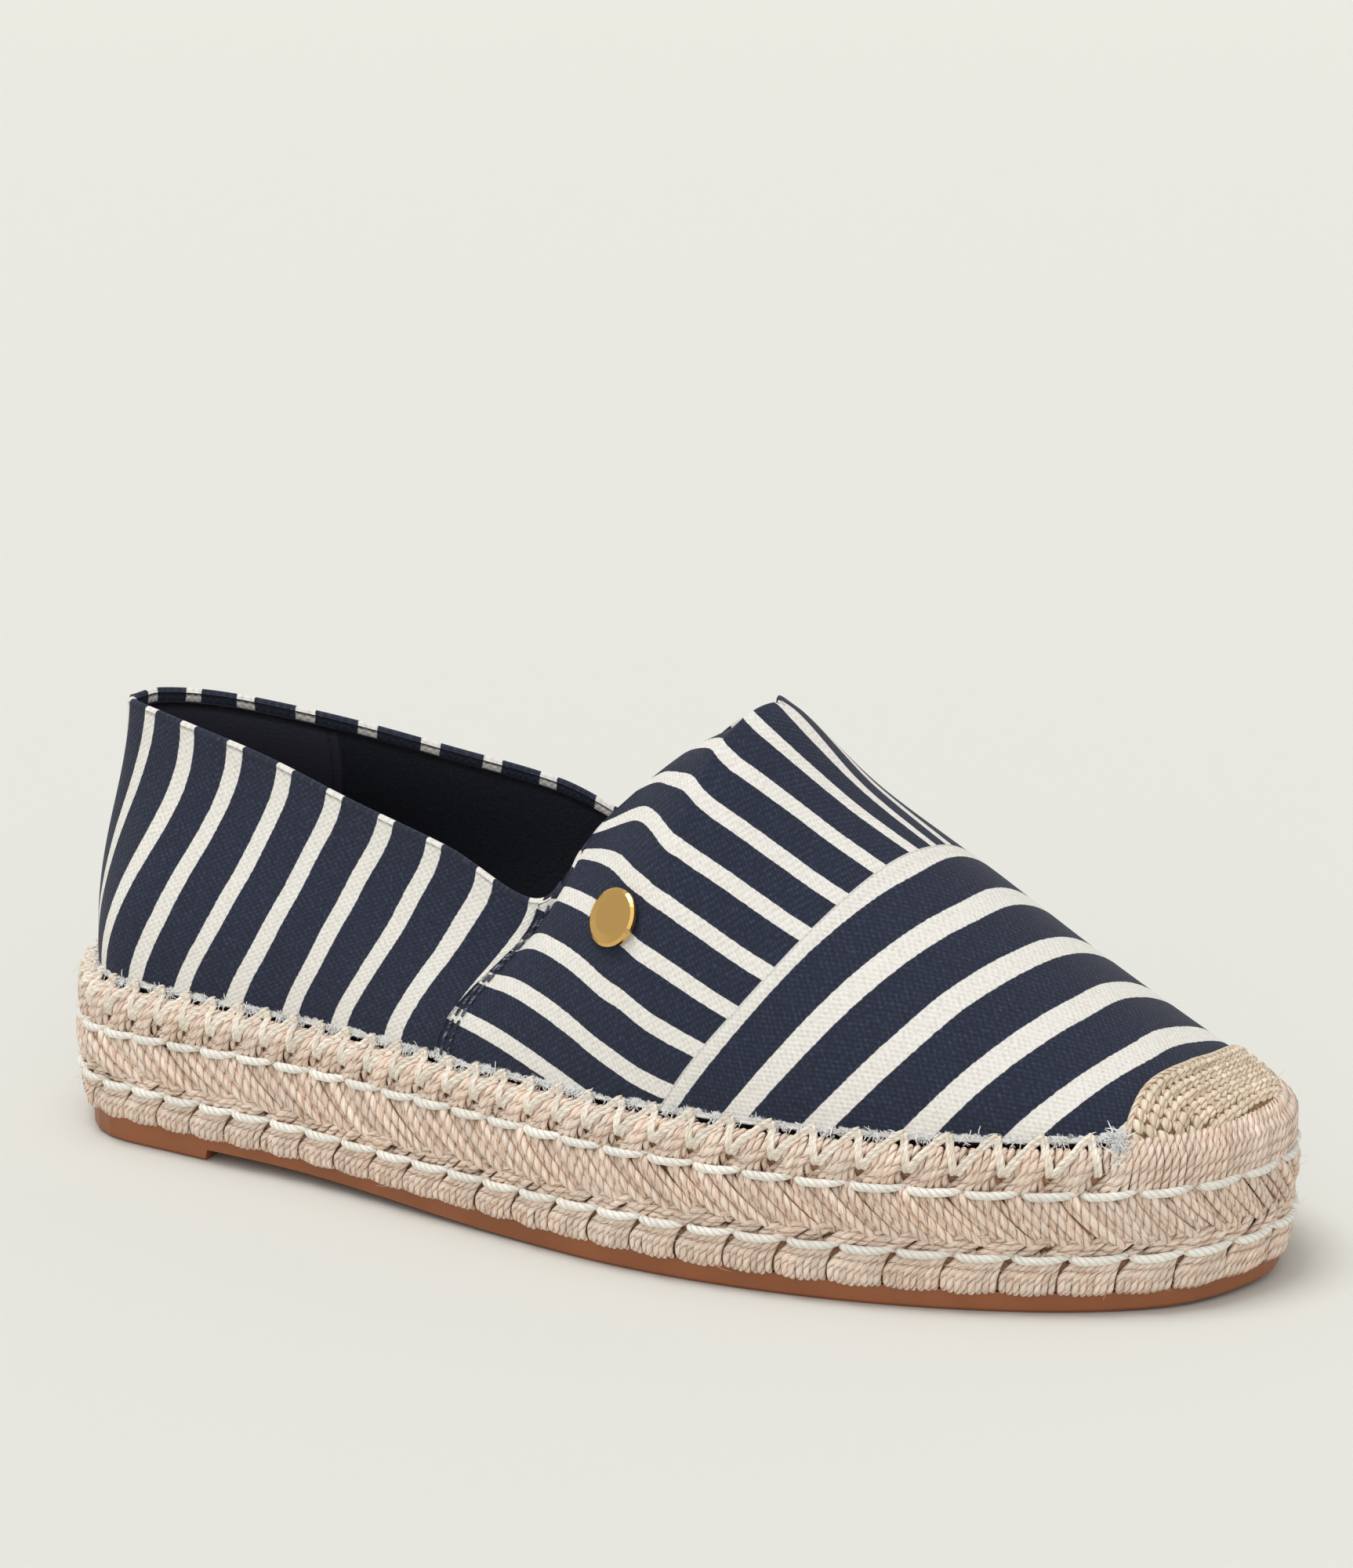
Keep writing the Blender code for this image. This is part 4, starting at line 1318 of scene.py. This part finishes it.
def rib_length(side, at_lines):
    """Length of each rib along the upper's face."""
    up = np.broadcast_to(np.linspace(0, 1, 25), (len(at_lines), 25))
    points, _ = upper_faces(np.broadcast_to(at_lines[:, None], up.shape).copy(), up.copy())
    return np.linalg.norm(np.diff(points[side], axis=1), axis=2).sum(axis=1)


def roll_edge(piece, layers, index, inward, turned, slot, values):
    """Rounded strip that closes a layer along a free edge."""
    if len(index) < 2:
        return
    a = layers[0][index[:, 0], index[:, 1]]
    b = layers[1][index[:, 0], index[:, 1]]
    back = layers[0][index[:, 0] + inward[0], index[:, 1] + inward[1]]
    away = unit(a - back)
    bulge = np.linalg.norm(a - b, axis=1, keepdims=True) / 2
    turns = np.linspace(0, math.pi, 7)
    middle, reach = (a + b) / 2, (a - b) / 2
    grid = np.array([middle + reach * math.cos(t) + away * bulge * math.sin(t) * 0.9 for t in turns])
    quad = quads(len(turns), len(index))
    face = quad if turned else quad[:, ::-1]
    held = {key: np.tile(value[index[:, 0], index[:, 1]], len(turns)) for key, value in values.items()}
    piece.add(grid, (face,), (np.zeros((len(face), 4, 2)),), 0.5, slot, **held)


def cap_grid(rows, columns):
    """Points and normals of the toe cap's two sides, from its edge to the toe."""
    table = np.array(CROCHET_EDGE)
    up = np.linspace(0, 1, columns)
    sides = []
    for side in (0, 1):
        edge = hermite(up, table[:, 0], table[:, 1 + side])
        at = edge + np.linspace(0, 1, rows)[:, None] * (LAST_RIB - edge)
        sides.append(skin(side, at, np.broadcast_to(up, at.shape)))
    return [points for points, _ in sides], [normals for _, normals in sides]


def cap_rows(distances):
    """Lines over the cap at distances from its edge, with normals, as far as the rope."""
    rows, columns = 120, 60
    points, normals = cap_grid(rows, columns)
    rim = np.vstack([points[0][0], points[1][0, ::-1]])
    away = [np.linalg.norm(p[:, :, None] - rim, axis=3).min(axis=2) for p in points]
    for distance in distances:
        line = []
        face = []
        for side, order in ((0, range(columns)), (1, reversed(range(columns)))):
            for column in order:
                far = away[side][:, column]
                row = int(np.argmax(far > distance))
                if row:
                    share = (distance - far[row - 1]) / (far[row] - far[row - 1])
                    for found, grid in ((line, points), (face, normals)):
                        low, high = grid[side][row - 1, column], grid[side][row, column]
                        found.append(low + share * (high - low))
        if len(line) > 8:
            yield np.array(line), np.array(face)


def spaced(line, face, gap, shift=0.0):
    """Points along a line at a gap, with normals and directions."""
    way = travelled(line)
    at = np.arange(gap * (0.4 + shift), way[-1] - gap * 0.3, gap)
    along = between(at + gap / 4, way, line) - between(at - gap / 4, way, line)
    return between(at, way, line), unit(between(at, way, face)), unit(along)


def crochet_cap():
    """Crocheted toe cap: rows of slanting knots between its bound edge and the rope, over a dark backing
    that is painted shade for the gaps between the knots.
    """
    piece = Piece("crochet_toe_cap")
    rows, columns = 50, 40
    points, normals = cap_grid(rows, columns)
    # Dark backing layers under the knots: painted shade for the gaps between them.
    for side in (0, 1):
        for height, turned in ((0.55, side == 1), (0.15, side == 0)):
            grid = points[side] + normals[side] * height * MM
            quad = quads(rows, columns)[:, BACKWARDS]
            face = quad[:, ::-1] if turned else quad
            uv = np.stack([face % columns * 0.02, face // columns * 0.6], axis=-1)
            piece.add(grid, (face,), (uv,), 0.5, 1)
    taken = np.zeros((0, 3))
    rings = 9
    t = np.linspace(-1, 1, rings)
    for number, (line, face) in enumerate(cap_rows(np.arange(FIRST_ROW, CAP_REACH, ROW_PITCH) * MM)):
        spots, faces, along = spaced(line, face, KNOT_PITCH * MM, 0.5 * (number % 2))
        if len(taken):
            away = np.linalg.norm(spots[:, None] - taken[None], axis=2).min(axis=1)
            keep = away > KNOT_ROOM * MM
            spots, faces, along = spots[keep], faces[keep], along[keep]
        taken = np.vstack([taken, spots])
        down = np.cross(faces, along)
        lean = along * KNOT_ALONG * MM + down * KNOT_DOWN * MM
        lean *= CHANCE.uniform(0.9, 1.12, len(lean))[:, None]
        lift = KNOT_RISE * (1 - t**2) * MM
        paths = spots[:, None] + t[:, None] * lean[:, None] + faces[:, None] * lift[:, None]
        outs = np.broadcast_to(faces[:, None], paths.shape)
        thick = CHANCE.uniform(0.90, 1.06, len(paths))[:, None] * MM
        strands(
            piece, paths, outs, tapered(rings, 1.0, 0.35, 0.35) * thick,
            sides=12, squash=0.85, lobes=3, ply=0.16, turn=300,
        )
    for line, face in cap_rows([0.4 * MM]):
        spots, faces, along = spaced(line, face, 0.8 * MM)
        path = spots + faces * 0.30 * MM
        radius = np.full((1, len(path)), 0.62 * MM)
        strands(piece, path[None], faces[None], radius, sides=10, tone=np.array([0.7]))
    return piece.build((CROCHET, CROCHET_CORE_PAINTED_SHADE), ("toe_cap",))


def fibres(piece, roots, lean, outs, length, thick, curl, rings=6):
    """Loose curved hairs from their roots."""
    count = len(roots)
    t = np.linspace(0, 1, rings)
    lean = unit(lean)
    bend = CHANCE.normal(0, 1, (count, 3))
    bend = unit(bend - (bend * lean).sum(axis=1, keepdims=True) * lean)
    turn = CHANCE.uniform(0.2, 1.0, count) * curl
    along = length[:, None] * t
    paths = roots[:, None] + lean[:, None] * along[..., None]
    paths = paths + bend[:, None] * ((turn * length)[:, None] * t**2)[..., None]
    strands(piece, paths, outs[:, None], tapered(rings, thick, 0.01, 0.6), sides=3)


def raw_edge():
    """Frayed threads along the raw edge of the canvas, and a tuft at its outer end."""
    piece = Piece("frayed_edge")
    way = CHANCE.uniform(0, ROUND, FRAYED)
    clump = np.sin(way / ROUND * 2 * math.pi * 57) + np.sin(way / ROUND * 2 * math.pi * 131 + 1)
    way = way[clump + CHANCE.normal(0, 0.6, len(way)) > 0.0]
    side, at = way_rib(way)
    kept = at < np.where(side == 0, *FRAY_ENDS)
    way, side, at = (a[kept] for a in (way, side, at))
    root, normal = skin(side, at, rise_share(side, at, CHANCE.uniform(0.6, 2.4, len(way)) * MM))
    root = root + normal * (lap_lift(at)[:, None] + CHANCE.uniform(0, 0.25, len(way))[:, None] * MM)
    lean = normal * CHANCE.uniform(0.1, 0.7, (len(way), 1)) + CHANCE.normal(0, 0.55, (len(way), 3))
    lean[:, 2] -= 0.45
    fibres(piece, root, lean, normal, CHANCE.uniform(0.6, 2.0, len(way)) * MM, FRAY_RADIUS * MM, 0.9, 4)
    count = TUFTED
    at = TUFT_RIB + CHANCE.normal(0, 0.03, count)
    up = np.clip(CHANCE.uniform(-0.12, 0.16, count), 0, 1)
    root, normal = skin(np.zeros(count), at, up)
    root = root + normal * CHANCE.uniform(0.5, 2.6, (count, 1)) * MM
    root[:, 2] -= CHANCE.uniform(0, 3.6, count) * MM
    lean = normal * 0.5 + CHANCE.normal(0, 0.45, (count, 3))
    lean[:, 2] += CHANCE.choice([-0.9, 0.9], count)
    fibres(piece, root, lean, normal, CHANCE.uniform(1.2, 3.2, count) * MM, TUFT_RADIUS * MM, 0.8)
    return piece.build((FRAY_LOOK,))


def loose_hairs():
    """Fine fibres that stand off the rope."""
    piece = Piece("loose_hairs")
    count = HAIRS
    way = CHANCE.uniform(0, ROUND, count)
    course = CHANCE.integers(1, 4, count)
    roots = np.zeros((count, 3))
    for line in (RUBBER_TOP, LOWER_SEAM, UPPER_SEAM):
        mask = course == line
        height = CHANCE.uniform(0.1, 0.9, mask.sum())
        out = CHANCE.uniform(1.0, 1.7, mask.sum()) * MM
        roots[mask] = on_course(way[mask], height, out, line)
    outs = out_of(way)
    lie = np.cross(outs, (0, 0, 1.0)) * CHANCE.choice([-1.0, 1.0], (count, 1))
    lean = lie + outs * CHANCE.uniform(-0.1, 0.35, (count, 1)) + CHANCE.normal(0, 0.3, (count, 3))
    fibres(piece, roots, lean, outs, CHANCE.uniform(1.0, 3.6, count) * MM, HAIR_RADIUS * MM, 0.7)
    return piece.build((HAIR,))


def sewn_rows():
    """Two rows of short stitches along the vamp's edge."""
    piece = Piece("seam_stitches")
    for side in (0, 1):
        for inset in STITCH_INSETS:
            up = np.linspace(0.02, 0.985, 60)
            at = np.full(len(up), SEAM_RIB + inset / RIB_WIDTH)
            line, face = skin(np.full(len(up), side), at, up)
            line = line + face * (lap_lift(at)[:, None] + 0.0002)
            dash(piece, line, face)
    return piece.build((NAVY_THREAD,))


def dash(piece, line, face):
    """A row of short stitches whose ends sink in."""
    way = travelled(line)
    gap = STITCH_GAP * MM
    start = np.arange(0.5 * gap, way[-1] - gap, gap)
    rings = 9
    t = np.linspace(0, 1, rings)
    at = start[:, None] + t * (STITCH_LENGTH * MM)
    faces = between(at, way, face)
    lift = (np.sin(np.pi * t) ** 0.5 - 0.75) * 0.35 * MM
    paths = between(at, way, line) + faces * lift[:, None]
    strands(piece, paths, faces, tapered(rings, STITCH_RADIUS * MM, 0.1, 0.1), sides=7)


# The stage, in metres: how far the floor reaches, where it turns up, and the bend
FLOOR_REACH = 6.0
FLOOR_END = 1.6
FLOOR_BEND = 0.8
WALL_TOP = 2.6


def build_stage():
    """Pale paper that runs from the floor up behind the shoe."""
    steps = 24
    profile = [(-FLOOR_REACH, 0.0), (FLOOR_END, 0.0)]
    for k in range(1, steps + 1):
        turn = k / steps * math.pi / 2
        rise = FLOOR_BEND - FLOOR_BEND * math.cos(turn)
        profile.append((FLOOR_END + FLOOR_BEND * math.sin(turn), rise))
    profile.append((FLOOR_END + FLOOR_BEND, WALL_TOP))
    points = []
    faces = []
    for k, (depth, high) in enumerate(profile):
        for wide in (-FLOOR_REACH, FLOOR_REACH):
            points.append((wide, depth, high))
        if k:
            low = 2 * (k - 1)
            faces.append((low, low + 1, low + 3, low + 2))
    mesh = bpy.data.meshes.new("backdrop")
    mesh.from_pydata(points, [], faces)
    mesh.shade_smooth()
    made = bpy.data.objects.new("backdrop", mesh)
    tree = Tree("paper")
    mesh.materials.append(tree.set(Base_Color=srgb(224, 224, 218), Roughness=0.9, Specular_IOR_Level=0.1))
    bpy.context.scene.collection.objects.link(made)
    made.rotation_euler = (0, 0, CAMERA_TURN)


SKY_STRENGTH = 0.58
LIGHTS = (
    # name, azimuth and elevation in degrees, energy, spread in degrees
    ("key", -48, 74, 1.34, 26),
    ("fill", 20, 35, 0.48, 60),
)


def toward(azimuth, elevation):
    """Direction to a light or camera at these angles, 0 being before the outer side."""
    flat = math.cos(elevation)
    return (math.sin(azimuth) * flat, -math.cos(azimuth) * flat, math.sin(elevation))


def build_light():
    """Even light from all round, a soft key from above and a fill."""
    world = bpy.data.worlds.new("studio")
    bpy.context.scene.world = world
    world.use_nodes = True
    ground = world.node_tree.nodes["Background"]
    ground.inputs[0].default_value = (1.0, 0.995, 0.985, 1)
    ground.inputs[1].default_value = SKY_STRENGTH
    for name, azimuth, elevation, energy, spread in LIGHTS:
        lamp = bpy.data.lights.new(name, "SUN")
        lamp.energy = energy
        lamp.angle = math.radians(spread)
        made = bpy.data.objects.new(name, lamp)
        bpy.context.scene.collection.objects.link(made)
        way = Vector(toward(math.radians(azimuth), math.radians(elevation)))
        made.rotation_euler = way.to_track_quat("Z", "Y").to_euler()


# The camera of the photo: its angles, its distance in metres, its focal length and
# the place of its aim in the photo's pixels
CAMERA_TURN = math.radians(24.0)
CAMERA_RISE = math.radians(18.679)
CAMERA_ROLL = math.radians(0.389)
CAMERA_AWAY = 1.0743
CAMERA_FOCUS = 6917.0
AIM = (0.0, -MIDDLE_Y, 0.030)
AIM_PIXEL = (844.36, 1327.91)
PHOTO = (1726, 2000)
SENSOR = 36.0


def build_camera():
    """The photo's camera, rolled and shifted as it was."""
    back = np.array(toward(CAMERA_TURN, CAMERA_RISE))
    right = np.array([math.cos(CAMERA_TURN), math.sin(CAMERA_TURN), 0.0])
    up = np.cross(back, right)
    turned = right * math.cos(CAMERA_ROLL) + up * math.sin(CAMERA_ROLL)
    raised = -right * math.sin(CAMERA_ROLL) + up * math.cos(CAMERA_ROLL)
    data = bpy.data.cameras.new("camera")
    made = bpy.data.objects.new("camera", data)
    bpy.context.scene.collection.objects.link(made)
    place = np.array(AIM) + back * CAMERA_AWAY
    made.matrix_world = Matrix(
        [[turned[i], raised[i], back[i], place[i]] for i in range(3)] + [[0, 0, 0, 1]]
    )
    data.sensor_fit = "HORIZONTAL"
    data.sensor_width = SENSOR
    data.lens = CAMERA_FOCUS * SENSOR / PHOTO[0]
    data.shift_x = (PHOTO[0] / 2 - AIM_PIXEL[0]) / PHOTO[0]
    data.shift_y = (AIM_PIXEL[1] - PHOTO[1] / 2) / PHOTO[0]
    data.clip_end = 20
    bpy.context.scene.camera = made


def quarter():
    """Striped quarter with its lining, from the heel to under the vamp's edge."""
    table = np.array(QUARTER_STRIPES)

    def fields(at, up, climb, travel, point, down):
        ribs = np.array([hermite(up, (0, 0.25, 0.5, 0.75, 1.0), row[1:]) for row in table])
        value = np.full(at.shape, table[0, 0])
        for k in range(len(table) - 1):
            share = (at - ribs[k]) / (ribs[k + 1] - ribs[k])
            number = table[k, 0] + share * (table[k + 1, 0] - table[k, 0])
            value = np.where(share >= 0, number, value)
        return {"stripe": value, "along": climb / MM, "edge": climb / MM, "rib": at + 0.6 * (up - 0.9)}

    piece = Piece("quarter_cloth")
    layer_pair(piece, np.linspace(0, QUARTER_END, 140), 72, fields, ("foot", "rim"), 0)
    return piece.build((QUARTER_CLOTH, LINING), ("upper",), weld=True)


def vamp():
    """Striped vamp over the quarter's ends, its two panels in one sheet with a seam."""

    def fields(at, up, climb, travel, point, down):
        place = point[..., 0] / MM
        fall = down / MM
        distance = (place - front_line(PANEL_SEAM, fall)) * 0.93
        return {
            "rear": stripe_value(REAR_STRIPES, np.minimum(at, 12.0), up),
            "rear_along": travel / MM,
            "front": front_value(place, fall),
            "front_along": fall,
            "seam": np.where(at < 9.0, -40.0, np.clip(distance, -40, 40)),
            "edge": climb / MM,
            "rib": at,
        }

    piece = Piece("vamp_cloth")
    layer_pair(piece, np.linspace(SEAM_RIB, LAST_RIB, 190), 84, fields, ("foot", "rim", "start"), 1)
    return piece.build((VAMP_CLOTH, LINING), ("upper",), weld=True)


def layer_pair(piece, at_lines, columns, fields, edges, over):
    """Canvas turned in over the rim, and the lining that it holds, which comes
    down further than the raw edge."""

    def outer(at, down):
        return lap_lift(at) * over

    def inner(at, down):
        hem = (1 - smooth(1.6 * MM, 2.6 * MM, down)) * open_share(at)
        lap = (1 - smooth(SEAM_RIB + 0.4, SEAM_RIB + 0.8, at)) * over
        return -CANVAS * (1 - lap) + 0.00003 * lap - (WALL - CANVAS + 0.0001) * hem * (1 - lap)

    def lining_outer(at, down):
        return np.full(at.shape, -CANVAS - 0.00005)

    def lining_inner(at, down):
        return np.full(at.shape, -WALL)

    def sound(*given):
        values = fields(*given)
        values["edge"] = np.full(values["edge"].shape, 50.0)
        return values

    cloth_layer(piece, at_lines, columns, RAW_EDGE, 0.0, outer, inner, (0, 0), fields, edges)
    cloth_layer(
        piece, at_lines[::2], columns // 2, 0.0, HEM * MM,
        lining_outer, lining_inner, (1, 1), sound, ("foot", "rim"),
    )


quarter()
vamp()
upper_course()
lower_course()
braid_course()
running_stitches("upper_stitches", UPPER_SEAM, UPPER_STITCH_PLACE)
running_stitches("lower_stitches", LOWER_SEAM, LOWER_STITCH_PLACE)
blanket_thread()
for node, look in (("outsole", RUBBER), ("insole", LINING), ("ornament", GOLD)):
    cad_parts[node].data.materials.clear()
    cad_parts[node].data.materials.append(look)
crochet_cap()
raw_edge()
loose_hairs()
sewn_rows()
build_stage()
build_light()
build_camera()
bpy.context.scene.view_settings.view_transform = "Standard"
